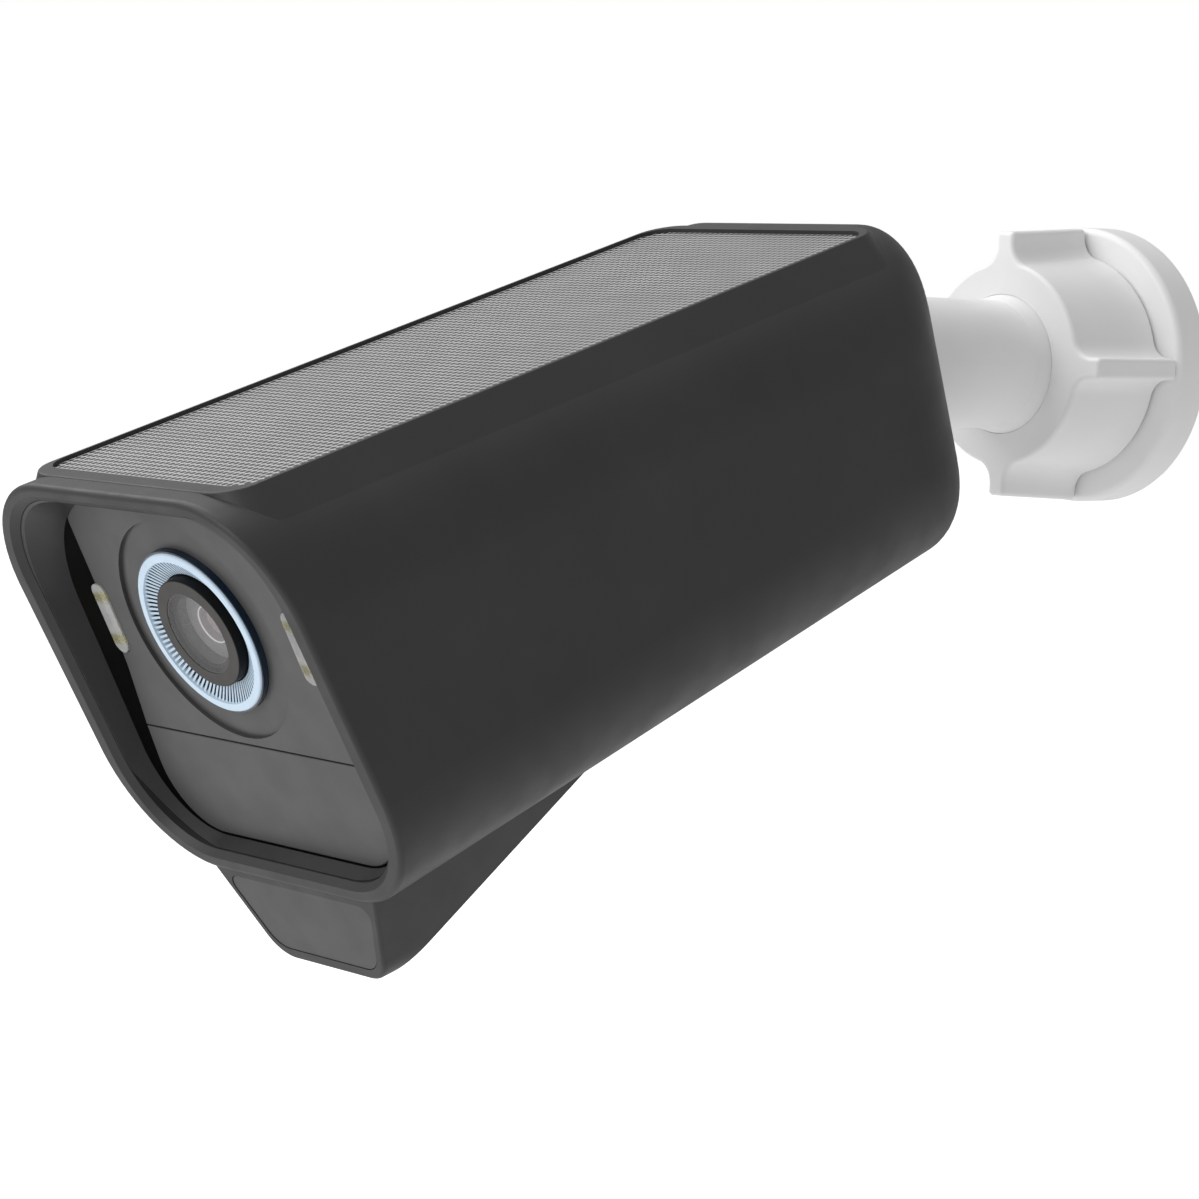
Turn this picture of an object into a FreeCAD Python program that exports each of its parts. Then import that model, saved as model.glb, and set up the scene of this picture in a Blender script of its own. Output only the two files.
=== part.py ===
import FreeCAD, Part
import math
import operator
import os
import Sketcher

# Solar-powered security camera on a ball-jointed wall bracket. Millimetres.
#
# Row frame: the origin is the centre of the bracket's back face. +Y points into the wall, +Z is
# up, and the camera looks towards -Y. The bracket's ball, arm and nut share the Y axis.
#
# Camera frame: the origin is the centre of the lens ring, +Y runs back along the hood and +Z is
# up. It is nose-down by tilt_down against the row frame.
# Rim frame and face frame: the camera frame leant back by the slant of the front rim and of the
# face plate. Their XZ planes are those surfaces.
# A body is drawn in its own frame, and its Placement puts it in the row frame.

Vector = FreeCAD.Vector
Rotation = FreeCAD.Rotation
Placement = FreeCAD.Placement

DIMENSIONS = {
    # where the camera hangs
    "tilt_down": 18.0,
    "ring_forward": 218.0,
    "ring_drop": 45.4,
    # wall bracket
    "cover_radius": 27.5,
    "cover_depth": 7.7,
    "cover_skin": 2.0,
    "cover_round": 1.4,
    "base_radius": 24.0,
    "base_thick": 5.5,
    "collar_radius": 19.25,
    "collar_reach": 24.4,
    "screw_circle": 23.0,
    "screw_hole_radius": 2.25,
    "screw_head_radius": 4.2,
    "screw_floor": 5.0,
    "ball_radius": 14.0,
    "ball_reach": 26.5,
    "cup_outer_radius": 16.0,
    "cup_edge": 5.5,
    "ball_play": 0.06,
    "nut_front": 29.5,
    "nut_back": 8.0,
    "nut_front_radius": 20.0,
    "nut_back_radius": 22.0,
    "nut_mouth_radius": 13.75,
    "nut_thread_radius": 19.35,
    "nut_shoulder": 25.2,
    "wing_front_reach": 26.0,
    "wing_back_reach": 27.2,
    "wing_thick": 4.2,
    "wing_root_round": 4.5,
    "wing_edge_round": 0.9,
    "neck_root_radius": 12.5,
    "neck_radius": 12.9,
    "neck_end": 65.0,
    "neck_end_round": 1.0,
    "stud_radius": 3.175,
    "stud_start": 50.0,
    "stud_end": 80.0,
    "lock_ring_radius": 13.2,
    "lock_ring_front": 65.3,
    "lock_ring_back": 69.8,
    "notch_radius": 0.7,
    "thread_play": 0.07,
    "boss_radius": 14.0,
    "boss_tip": 70.2,
    "boss_root": 87.0,
    "insert_radius": 5.0,
    "insert_start": 70.6,
    "insert_end": 84.0,
    # hood
    "hood_half_width": 41.6,
    "hood_top": 28.3,
    "hood_rear": 147.0,
    "hood_sill": -47.9,
    "hood_rise": 0.1,
    "rim_slant": 12.1,
    "rim_offset": -6.35,
    "shoulder_round": 21.0,
    "belly_round": 22.0,
    "rear_side_round": 18.0,
    "rear_top_round": 5.0,
    "rear_belly_round": 9.0,
    "hood_wall": 3.0,
    "hood_roof": 6.0,
    "hood_back_wall": 5.0,
    "rim_wall": 4.6,
    "rim_depth": 3.5,
    "rim_outer_round": 1.0,
    "rim_chamfer": 1.2,
    "mouth_roof": 3.3,
    "mouth_floor": 3.6,
    "mouth_end": 9.0,
    # roof and solar panel
    "deck_half_width": 30.1,
    "deck_front": -8.0,
    "deck_rear": 140.4,
    "deck_top": 28.5,
    "deck_round": 6.0,
    "deck_edge_round": 0.4,
    "deck_skirt_half": 46.09,
    "deck_skirt_z": 9.1,
    "deck_foot_z": 21.1,
    "deck_foot_half": 32.7,
    "deck_under_half": 26.0,
    "deck_under_z": 25.3,
    "panel_half_width": 29.3,
    "panel_front": -4.4,
    "panel_rear": 137.7,
    "panel_top": 27.8,
    "panel_thick": 1.6,
    "panel_round": 5.0,
    "panel_gap": 0.15,
    "adhesive_thick": 0.4,
    "adhesive_inset": 3.0,
    # liner and face
    "liner_gap": 0.1,
    "liner_start": 1.3,
    "liner_end_gap": 0.15,
    "liner_draft_depth": 9.0,
    "liner_front_half": 37.0,
    "liner_front_top": 25.63,
    "liner_front_bottom": -45.44,
    "liner_front_round": 16.0,
    "liner_back_half": 34.6,
    "liner_back_top": 22.4,
    "liner_back_bottom": -43.24,
    "liner_back_round": 23.0,
    "liner_floor_round": 16.5,
    "face_slant": 9.8,
    "face_thick": 2.4,
    "face_top": 23.7,
    "face_split": -22.2,
    "split_gap": 0.35,
    "face_bottom": -42.9,
    "face_bottom_round": 12.0,
    "face_top_round": 6.0,
    "face_edge_round": 0.35,
    "face_top_half": 27.9,
    "face_mid_half": 28.1,
    "face_mid_z": 5.0,
    "face_low_half": 29.3,
    "face_low_z": -10.0,
    "face_split_half": 31.6,
    "face_wide_half": 32.5,
    "face_wide_z": -30.0,
    "face_bend_round": 25.0,
    "dish_radius": 20.7,
    "dish_depth": 0.7,
    "ring_hole_radius": 15.35,
    "block_inset": 1.3,
    "block_depth": 8.0,
    "ring_board_room": 1.6,
    "flange_thick": 2.6,
    "flange_gap": 0.3,
    # lens ring and window
    "ring_radius": 15.0,
    "ring_band_radius": 13.5,
    "ring_inner_radius": 10.35,
    "ring_front": -0.9,
    "ring_back": 2.2,
    "ring_edge_round": 0.35,
    "sleeve_front": -0.5,
    "fin_width": 0.42,
    "fin_front": -0.6,
    "fin_inner_front": 0.9,
    "fin_back": 1.4,
    "fin_count": 90,
    "bezel_radius": 10.1,
    "bezel_front": -1.0,
    "bezel_round": 0.3,
    "glass_radius": 7.55,
    "glass_front": -0.92,
    "glass_thick": 1.0,
    "glass_seat": 1.2,
    # led windows
    "window_x": 27.6,
    "window_z": -0.25,
    "window_width": 3.8,
    "window_length": 13.5,
    "window_front": -0.3,
    "window_back": 6.6,
    "window_skin": 0.7,
    "window_gap": 0.15,
    "led_board_front": 4.4,
    "led_board_thick": 1.0,
    "led_half": 1.0,
    "led_height": 0.8,
    "led_spacing": 4.1,
    # chin
    "chin_drop": 65.2,
    "chin_top_half_width": 25.9,
    "chin_bottom_half_width": 15.2,
    "chin_join_z": -42.0,
    "chin_setback": 1.0,
    "chin_heel_y": 49.5,
    "chin_heel_z": -43.0,
    "chin_corner_round": 7.0,
    "chin_wall": 2.2,
    "chin_edge_round": 0.8,
    "chin_toe_flat": 2.0,
    "pir_border": 2.0,
    "pir_thick": 1.2,
    "pir_seat": 3.4,
    "pir_ledge": 1.2,
    "pir_top_z": -50.5,
    "pir_top_round": 2.0,
    "pir_z": -56.0,
    "pir_sensor_y": 4.6,
    "rim_cosine": 0.97778,
    # rear cover
    "back_half_width": 21.0,
    "back_top": 20.5,
    "back_bottom": -23.6,
    "back_round": 4.0,
    "back_gap": 0.2,
    "fit_gap": 0.1,
    "back_pocket": 3.0,
    "gasket_thick": 0.6,
    "back_ledge": 4.4,
    "back_sill": 2.0,
    "cover_proud": 0.3,
    "cover_edge_round": 0.3,
    "boss_edge_round": 0.8,
    "screw_head_depth": 1.4,
    "drive_half": 0.7,
    "back_screw_inset": 2.7,
    "back_screw_radius": 1.1,
    "back_screw_head": 1.9,
    "back_screw_length": 4.6,
    "screw_bite": 4.0,
    "flap_x": -4.5,
    "flap_half_width": 11.8,
    "flap_top": -16.9,
    "flap_bottom": -21.5,
    "flap_thick": 1.5,
    "flap_gap": 0.2,
    "flap_top_gap": 0.4,
    "flap_top_bevel": 1.0,
    "hinge_y": 148.8,
    "hinge_z": -22.6,
    "hinge_radius": 1.15,
    "hinge_half_length": 5.0,
    "pin_radius": 0.6,
    "pin_play": 0.05,
    "lug_length": 2.6,
    "lug_reach": 1.0,
    "lug_rise": 0.95,
    "lug_round": 0.8,
    "button_x": 13.2,
    "button_z": -18.2,
    "button_radius": 3.0,
    "button_gap": 0.08,
    "button_travel": 0.8,
    "switch_half": 2.0,
    # optics
    "barrel_front_radius": 7.4,
    "barrel_rear_radius": 6.0,
    "barrel_front": 2.3,
    "barrel_step": 9.0,
    "barrel_back": 20.0,
    "barrel_bore": 3.5,
    "barrel_clearance": 0.4,
    "objective_radius": 3.4,
    "objective_front": 2.5,
    "objective_thick": 3.2,
    "objective_sphere": 4.8,
    "rear_lens_front": 14.0,
    "rear_lens_thick": 2.6,
    "holder_half": 9.5,
    "holder_half_width": 11.0,
    "slot_half_width": 9.6,
    "sensor_room_half": 6.5,
    "filter_window_radius": 2.3,
    "holder_front": 12.0,
    "holder_back": 26.4,
    "filter_front": 21.2,
    "filter_thick": 0.9,
    "filter_half_height": 4.0,
    "filter_travel": 5.4,
    "slot_play": 0.3,
    "sensor_half": 4.6,
    "sensor_thick": 1.2,
    "sensor_board_half": 13.0,
    "board_thick": 1.6,
    # inside
    "tray_top": -19.0,
    "tray_thick": 2.0,
    "tray_half_width": 30.0,
    "tray_front": 15.0,
    "tray_rear": 136.0,
    "cell_radius": 9.2,
    "cell_length": 65.0,
    "cell_start": 46.0,
    "cell_pitch": 19.4,
    "holder_wall": 1.6,
    "holder_rib": 7.0,
    "main_board_z": 5.5,
    "main_board_half_width": 31.0,
    "main_board_front": 42.0,
    "main_board_rear": 130.0,
    "post_radius": 2.6,
    "post_x": 27.5,
    "board_screw_radius": 1.2,
    "board_screw_head": 2.2,
    "board_screw_length": 5.0,
    "board_head_height": 1.6,
    "shield_half": 12.0,
    "shield_height": 3.0,
    "shield_y": 74.0,
    "speaker_radius": 11.0,
    "speaker_height": 5.0,
    "speaker_y": 112.0,
    "microphone_radius": 2.0,
    "microphone_length": 3.0,
    "microphone_x": 18.0,
    "microphone_z": -34.0,
    "antenna_y": 118.0,
    "antenna_half_length": 15.0,
    "antenna_half_width": 4.0,
    "antenna_thick": 0.4,
    "port_board_y": 138.2,
    "usb_x": -10.6,
    "usb_half_width": 4.5,
    "usb_half_height": 1.65,
    "usb_shell": 0.35,
    "port_z": -19.0,
    "port_window_half": 1.9,
    "port_board_half_width": 17.0,
    "port_board_half_height": 3.4,
    "port_mouth_y": 145.4,
    "card_x": 0.6,
    "card_half_width": 5.5,
    "card_thick": 0.8,
    "pir_can_radius": 4.6,
    "pir_can_length": 3.4,
    "pir_board_half": 8.0,
    "pir_board_half_height": 6.4,
}

doc = FreeCAD.newDocument("solar_security_camera")


# ---------------------------------------------------------------- sizes


class Size:
    """A number that remembers the sheet formula it comes from."""

    def __init__(self, number, formula):
        self.number = float(number)
        self.formula = formula

    def __add__(self, other):
        return combine(self, "+", other)

    def __radd__(self, other):
        return combine(other, "+", self)

    def __sub__(self, other):
        return combine(self, "-", other)

    def __rsub__(self, other):
        return combine(other, "-", self)

    def __mul__(self, other):
        return combine(self, "*", other)

    def __rmul__(self, other):
        return combine(other, "*", self)

    def __truediv__(self, other):
        return combine(self, "/", other)

    def __neg__(self):
        return combine(-1, "*", self)


OPERATIONS = {"+": operator.add, "-": operator.sub, "*": operator.mul, "/": operator.truediv}


def as_size(value):
    if isinstance(value, Size):
        return value
    return Size(value, f"({value})")


def combine(left, sign, right):
    left = as_size(left)
    right = as_size(right)
    number = OPERATIONS[sign](left.number, right.number)
    return Size(number, f"({left.formula} {sign} {right.formula})")


def tangent(angle):
    return Size(math.tan(math.radians(angle.number)), f"tan({angle.formula} * 1 deg)")


def fill_sheet():
    sheet = doc.addObject("Spreadsheet::Sheet", "Dims")
    for row, (name, value) in enumerate(DIMENSIONS.items(), start=1):
        sheet.set(f"A{row}", name)
        sheet.set(f"B{row}", str(value))
        sheet.setAlias(f"B{row}", name)
    doc.recompute()


class Sheet:
    """The driving dimensions, by name."""

    def __getattr__(self, name):
        return Size(DIMENSIONS[name], "Dims." + name)


fill_sheet()
D = Sheet()


def bind(thing, path, value):
    thing.setExpression(path, as_size(value).formula)


# ---------------------------------------------------------------- frames

X_AXIS = Vector(1, 0, 0)
Y_AXIS = Vector(0, 1, 0)
Z_AXIS = Vector(0, 0, 1)

ROW = Placement()
CAMERA = Placement(
    Vector(0, -D.ring_forward.number, -D.ring_drop.number), Rotation(X_AXIS, D.tilt_down.number)
)
FACE_IN_CAMERA = Placement(Vector(), Rotation(X_AXIS, D.face_slant.number))
RIM_IN_CAMERA = Placement(Vector(0, D.rim_offset.number, 0), Rotation(X_AXIS, D.rim_slant.number))
ROW_IN_CAMERA = CAMERA.inverse()
FACE = CAMERA.multiply(FACE_IN_CAMERA)
RIM = CAMERA.multiply(RIM_IN_CAMERA)


# ---------------------------------------------------------------- drawing helpers


def new_body(label):
    body = doc.addObject("PartDesign::Body", label)
    body.Label = label
    return body


def new_sketch(body, role, level=0):
    """A sketch on one of the body's own origin planes, moved along that plane's normal."""
    plane = [part for part in body.Origin.OriginFeatures if part.Role == role][0]
    sketch = body.newObject("Sketcher::SketchObject", body.Label + "_sketch")
    sketch.AttachmentSupport = [(plane, "")]
    sketch.MapMode = "FlatFace"
    bind(sketch, "AttachmentOffset.Base.z", level)
    return sketch


def pin_point(sketch, geometry, point, across, up):
    """Fix a point of the sketch by its two bound distances from the origin."""
    for kind, axis, distance in (("DistanceX", -2, across), ("DistanceY", -1, up)):
        size = as_size(distance)
        if abs(size.number) < 1e-9:
            sketch.addConstraint(Sketcher.Constraint("PointOnObject", geometry, point, axis))
            continue
        rule = Sketcher.Constraint(kind, -1, 1, geometry, point, size.number)
        bind(sketch, f"Constraints[{sketch.addConstraint(rule)}]", size)


def draw_polygon(sketch, corners):
    spots = [Vector(as_size(across).number, as_size(up).number, 0) for across, up in corners]
    first = sketch.GeometryCount
    count = len(spots)
    for i in range(count):
        sketch.addGeometry(Part.LineSegment(spots[i], spots[(i + 1) % count]))
    for i in range(count):
        after = first + (i + 1) % count
        sketch.addConstraint(Sketcher.Constraint("Coincident", first + i, 2, after, 1))
    for i, (across, up) in enumerate(corners):
        pin_point(sketch, first + i, 1, across, up)


def draw_circle(sketch, across, up, radius):
    radius = as_size(radius)
    centre = Vector(as_size(across).number, as_size(up).number, 0)
    index = sketch.addGeometry(Part.Circle(centre, Z_AXIS, radius.number))
    pin_point(sketch, index, 3, across, up)
    rule = sketch.addConstraint(Sketcher.Constraint("Radius", index, radius.number))
    bind(sketch, f"Constraints[{rule}]", radius)


def rectangle(low_across, high_across, low_up, high_up):
    return [
        (low_across, low_up),
        (high_across, low_up),
        (high_across, high_up),
        (low_across, high_up),
    ]


def add_pad(body, sketch, length, reverse=False):
    pad = body.newObject("PartDesign::Pad", body.Label + "_pad")
    pad.Profile = sketch
    bind(pad, "Length", length)
    pad.Reversed = reverse
    return pad


def extrude(label, role, near, far, polygon=None, circles=()):
    """A body drawn on one plane and padded from near to far along that plane's world axis.

    The XZ plane's normal is -Y, so its sketch sits at -near and its pad is reversed."""
    body = new_body(label)
    backwards = role == "XZ_Plane"
    sketch = new_sketch(body, role, -as_size(near) if backwards else near)
    if polygon:
        draw_polygon(sketch, polygon)
    for across, up, radius in circles:
        draw_circle(sketch, across, up, radius)
    add_pad(body, sketch, as_size(far) - near, backwards)
    return body


def block(label, x, y, z):
    """A rectangular body from its (low, high) spans."""
    return extrude(label, "XY_Plane", z[0], z[1], rectangle(x[0], x[1], y[0], y[1]))


def rod(label, x, z, radius, near, far, hole=None):
    """A round bar or tube along Y."""
    circles = [(x, z, radius)]
    if hole is not None:
        circles.append((x, z, hole))
    return extrude(label, "XZ_Plane", near, far, circles=circles)


def post(label, x, y, radius, near, far):
    """A round bar along Z."""
    return extrude(label, "XY_Plane", near, far, circles=[(x, y, radius)])


def turn(label, corners):
    """A body turned about the Y axis from (radius, y) corners."""
    body = new_body(label)
    sketch = new_sketch(body, "XY_Plane")
    draw_polygon(sketch, corners)
    revolve = body.newObject("PartDesign::Revolution", label + "_turn")
    revolve.Profile = sketch
    revolve.ReferenceAxis = (sketch, ["V_Axis"])
    revolve.Angle = 360
    return body


def edge_names(shape, test):
    return [f"Edge{i}" for i, edge in enumerate(shape.Edges, start=1) if test(edge)]


def dress(body, kind, prop, size, test):
    """Add a fillet or chamfer to the body's edges that pass the test."""
    doc.recompute()
    base = body.Tip
    feature = body.newObject("PartDesign::" + kind, body.Label + "_" + kind.lower())
    feature.Base = (base, edge_names(base.Shape, test))
    bind(feature, prop, size)
    body.Tip = feature
    doc.recompute()


def round_edges(body, radius, test):
    dress(body, "Fillet", "Radius", radius, test)


def chamfer_edges(body, size, test):
    dress(body, "Chamfer", "Size", size, test)


def parallel(axis):
    """A test for straight edges along an axis."""

    def test(edge):
        if edge.Curve.TypeId != "Part::GeomLine":
            return False
        return edge.tangentAt(edge.FirstParameter).cross(axis).Length < 1e-3

    return test


def parallel_where(axis, condition):
    along = parallel(axis)
    return lambda edge: along(edge) and condition(edge.CenterOfMass)


def at_level(axis_name, level, within=1e-3):
    """A test for edges that lie in one plane across an axis."""
    level = as_size(level).number
    low = axis_name + "Min"
    high = axis_name + "Max"

    def test(edge):
        bounds = edge.BoundBox
        return abs(getattr(bounds, low) - level) < within and abs(getattr(bounds, high) - level) < within

    return test


def circle_at(radius, level):
    """A test for the circle of a turned body with this radius and Y."""
    radius = as_size(radius).number
    flat = at_level("Y", level)
    return lambda edge: flat(edge) and abs(edge.BoundBox.XLength - 2 * radius) < 1e-2


def sphere(label, radius, y):
    ball = doc.addObject("Part::Sphere", label)
    bind(ball, "Radius", radius)
    bind(ball, "Placement.Base.y", y)
    return ball


def cut(label, base, *tools):
    result = base
    for i, tool in enumerate(tools, start=1):
        step = doc.addObject("Part::Cut", label if i == len(tools) else f"{label}_step_{i}")
        step.Base = result
        step.Tool = tool
        result = step
    return result


def fuse(label, *parts):
    joined = doc.addObject("Part::MultiFuse", label)
    joined.Shapes = list(parts)
    return joined


def common(label, first, second):
    shared = doc.addObject("Part::Common", label)
    shared.Base = first
    shared.Tool = second
    return shared


def gather(label, parts):
    """Separate solids of one kind, kept apart in one sub-part."""
    group = doc.addObject("Part::Compound", label)
    group.Links = list(parts)
    return group


def put(thing, place):
    thing.Placement = place
    return thing


SIDES = (("left", -1), ("right", 1))
PIECES = {}


def keep(label, thing, place):
    """Name a finished sub-part and set it in the row frame."""
    thing.Label = label
    thing.Placement = place
    PIECES[label] = thing


# ---------------------------------------------------------------- wall bracket


def make_wall_cover():
    inner = D.base_radius + 0.2
    edge = D.collar_radius + 0.55
    front = -D.cover_depth
    under = D.cover_skin - D.cover_depth
    corners = [
        (edge, front),
        (D.cover_radius, front),
        (D.cover_radius, 0),
        (inner, 0),
        (inner, under),
        (edge, under),
    ]
    body = turn("wall_cover", corners)
    round_edges(body, D.cover_round, circle_at(D.cover_radius, front))
    keep("wall_cover", body, ROW)


def make_wall_base():
    corners = [
        (0, 0),
        (D.base_radius, 0),
        (D.base_radius, -D.base_thick),
        (D.collar_radius, -D.base_thick),
        (D.collar_radius, -D.collar_reach),
        (0, -D.collar_reach),
    ]
    blank = turn("base_blank", corners)
    seat = sphere("base_seat", D.cup_outer_radius + D.ball_play, -D.ball_reach)
    holes = []
    for i, angle in enumerate((90, 210, 330)):
        across = D.screw_circle / 2 * math.cos(math.radians(angle))
        up = D.screw_circle / 2 * math.sin(math.radians(angle))
        holes.append(rod(f"base_hole_{i}", across, up, D.screw_hole_radius, -D.collar_reach, 1))
        head = rod(f"base_sink_{i}", across, up, D.screw_head_radius, -D.collar_reach, -D.screw_floor)
        holes.append(head)
    keep("wall_base", cut("wall_base", blank, seat, *holes), ROW)


def make_friction_cup():
    outer = sphere("cup_outer", D.cup_outer_radius, -D.ball_reach)
    inner = sphere("cup_inner", D.ball_radius + D.ball_play, -D.ball_reach)
    reach = D.cup_outer_radius + 1
    back = block(
        "cup_back", (-reach, reach), (D.cup_edge - D.ball_reach, D.base_thick), (-reach, reach)
    )
    keep("friction_cup", common("friction_cup", cut("cup_shell", outer, inner), back), ROW)


def make_clamp_nut():
    body = turn(
        "nut_body",
        [
            (D.nut_mouth_radius, -D.nut_front),
            (D.nut_front_radius, -D.nut_front),
            (D.nut_back_radius, -D.nut_back),
            (D.nut_thread_radius, -D.nut_back),
            (D.nut_thread_radius, -D.nut_shoulder),
            (D.nut_mouth_radius, -D.nut_shoulder),
        ],
    )
    sketch = new_sketch(body, "XY_Plane", -D.wing_thick / 2)
    root = D.nut_thread_radius + 0.3
    draw_polygon(
        sketch,
        [
            (root, -D.nut_front),
            (D.wing_front_reach, -D.nut_front),
            (D.wing_back_reach, -D.nut_back),
            (root, -D.nut_back),
        ],
    )
    wing = add_pad(body, sketch, D.wing_thick)
    doc.recompute()
    axis = [part for part in body.Origin.OriginFeatures if part.Role == "Y_Axis"][0]
    pattern = body.newObject("PartDesign::PolarPattern", "wing_pattern")
    pattern.Originals = [wing]
    pattern.Axis = (axis, [""])
    pattern.Angle = 360
    pattern.Occurrences = 4
    body.Tip = pattern
    half = D.wing_thick.number / 2

    def is_root(edge):
        """The four pairs of lines where a wing meets the cone."""
        centre = edge.CenterOfMass
        away = math.hypot(centre.x, centre.z)
        near_side = min(abs(centre.x), abs(centre.z))
        return abs(near_side - half) < 0.05 and 20.5 < away < 21.7 and edge.BoundBox.YLength > 15

    round_edges(body, D.wing_root_round, is_root)

    def is_rim(edge):
        """The outline of the front and back faces, and the long outer edges of the wings."""
        bounds = edge.BoundBox
        centre = edge.CenterOfMass
        outside = max(abs(bounds.XMin), abs(bounds.XMax), abs(bounds.ZMin), abs(bounds.ZMax))
        return outside > D.nut_thread_radius.number + 0.5 or centre.Length > 35

    round_edges(body, D.wing_edge_round, is_rim)
    seat = sphere("nut_seat", D.ball_radius + D.ball_play, -D.ball_reach)
    keep("clamp_nut", cut("clamp_nut", body, seat), ROW)


def make_ball_arm():
    neck = turn(
        "neck",
        [
            (0, -D.ball_reach),
            (D.neck_root_radius, -D.ball_reach),
            (D.neck_radius, -D.neck_end),
            (0, -D.neck_end),
        ],
    )
    round_edges(neck, D.neck_end_round, circle_at(D.neck_radius, -D.neck_end))
    ball = sphere("ball", D.ball_radius, -D.ball_reach)
    socket = rod("stud_socket", 0, 0, D.stud_radius, -D.neck_end - 1, -D.stud_start)
    keep("ball_arm", cut("ball_arm", fuse("ball_and_neck", ball, neck), socket), ROW)


def make_stud_and_lock_ring():
    stud = rod("mount_stud", 0, 0, D.stud_radius, -D.stud_end, -D.stud_start)
    chamfer_edges(stud, 0.5, at_level("Y", -D.stud_end))
    keep("mount_stud", stud, ROW)
    ring = rod(
        "lock_ring_blank",
        0,
        0,
        D.lock_ring_radius,
        -D.lock_ring_back,
        -D.lock_ring_front,
        D.stud_radius + D.thread_play,
    )
    sketch = new_sketch(ring, "XZ_Plane", D.lock_ring_back)
    draw_circle(sketch, D.lock_ring_radius, 0, D.notch_radius)
    notch = ring.newObject("PartDesign::Pocket", "grip_notch")
    notch.Profile = sketch
    bind(notch, "Length", D.lock_ring_back - D.lock_ring_front)
    axis = [part for part in ring.Origin.OriginFeatures if part.Role == "Y_Axis"][0]
    doc.recompute()
    plain = ring.Shape.Volume
    if abs(plain - notch.BaseFeature.Shape.Volume) < 1e-3:
        notch.Reversed = True
        doc.recompute()
    pattern = ring.newObject("PartDesign::PolarPattern", "grip_pattern")
    pattern.Originals = [notch]
    pattern.Axis = (axis, [""])
    pattern.Angle = 360
    pattern.Occurrences = 24
    ring.Tip = pattern
    keep("lock_ring", ring, ROW)


# ---------------------------------------------------------------- hood


def rim_y(z, setback=0):
    """Where the front rim's plane, moved back by setback, stands at a height in the camera frame."""
    return D.rim_offset + setback - z * tangent(D.rim_slant)


def blend_edges(label, base, test, radius_at):
    """Round the edges that pass the test, each with its own radius at either end."""
    doc.recompute()
    edges = []
    for i, edge in enumerate(base.Shape.Edges, start=1):
        if test(edge):
            ends = [edge.valueAt(edge.FirstParameter), edge.valueAt(edge.LastParameter)]
            if edge.Orientation == "Reversed":
                ends.reverse()
            edges.append((i, radius_at(ends[0]), radius_at(ends[1])))
    rounded = doc.addObject("Part::Fillet", label)
    rounded.Base = base
    rounded.Edges = edges
    doc.recompute()
    return rounded


def hood_form(label, side, roof, floor, back, setback, rear_rounds):
    """The hood's outer form, shrunk by the given insets and starting setback behind the rim."""
    top = D.hood_top - roof
    sill = D.hood_sill + floor
    rear = D.hood_rear - back
    lean = tangent(D.rim_slant)
    toe = (D.rim_offset + setback - lean * sill) / (1 + lean * D.hood_rise)
    half = D.hood_half_width - side
    corners = [
        (rim_y(top, setback), top),
        (rear, top),
        (rear, sill + D.hood_rise * rear),
        (toe, sill + D.hood_rise * toe),
    ]
    body = extrude(label, "YZ_Plane", -half, half, corners)

    def long_edges(above):
        def test(edge):
            if edge.Curve.TypeId != "Part::GeomLine" or (edge.CenterOfMass.z > 0) != above:
                return False
            return abs(edge.tangentAt(edge.FirstParameter).y) > 0.99

        return test

    round_edges(body, D.shoulder_round - side, long_edges(True))
    flat_side = half.number - 0.01
    below = long_edges(False)
    round_edges(body, D.belly_round - side, lambda e: below(e) and abs(e.CenterOfMass.x) > flat_side)
    side_round, top_round, belly_round = [size.number for size in rear_rounds]

    def radius_at(point):
        if abs(point.x) > flat_side:
            return side_round
        return top_round if point.z > 0 else belly_round

    return blend_edges(label + "_rear_round", body, at_level("Y", rear), radius_at)


def rounded_block(label, x, y, z, radius, axis):
    """A block whose four edges along one axis are rounded."""
    body = block(label, x, y, z)
    round_edges(body, radius, parallel(axis))
    return body


def rim_wire(shape, inner):
    """The outer or the inner loop of the planar front rim face."""
    to_rim = RIM_IN_CAMERA.inverse()
    for face in shape.Faces:
        if max(abs(to_rim.multVec(corner.Point).y) for corner in face.Vertexes) < 1e-3:
            loops = sorted(face.Wires, key=lambda wire: wire.BoundBox.DiagonalLength)
            return loops[0] if inner else loops[-1]
    raise ValueError("no face in the rim's plane")


def dress_rim(label, kind, base, inner, size):
    """Fillet or chamfer one whole loop of the rim."""
    doc.recompute()
    loop = rim_wire(base.Shape, inner).Edges
    feature = doc.addObject("Part::" + kind, label)
    feature.Base = base
    entries = []
    for i, edge in enumerate(base.Shape.Edges, start=1):
        if any(edge.isSame(other) for other in loop):
            entries.append((i, size.number, size.number))
    feature.Edges = entries
    doc.recompute()
    return feature


def mouth_form(label, grow, setback, back):
    """The opening behind the rim that the liner and the bulkhead fill, shrunk by grow."""
    side = D.rim_wall + grow
    small = as_size(1)
    roof = D.mouth_roof + grow
    floor = D.mouth_floor + grow
    return hood_form(label, side, roof, floor, back, setback, (small, small, small))


def cavity_form(label, grow, setback):
    """The hollow behind the rim's flange, shrunk by grow."""
    wall = D.hood_wall + grow
    side_round = D.rear_side_round - wall
    belly_round = D.rear_belly_round - wall
    rounds = (side_round, D.rear_top_round - D.hood_wall, belly_round)
    roof = D.hood_roof + grow
    return hood_form(label, wall, roof, wall, D.hood_back_wall + grow, setback, rounds)


def back_plate(label, shrink, near, far):
    """A plate of the rear cover's outline between two depths."""
    half = D.back_half_width - shrink
    return rounded_block(
        label,
        (-half, half),
        (near, far),
        (D.back_bottom + shrink, D.back_top - shrink),
        D.back_round - shrink,
        Y_AXIS,
    )


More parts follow.
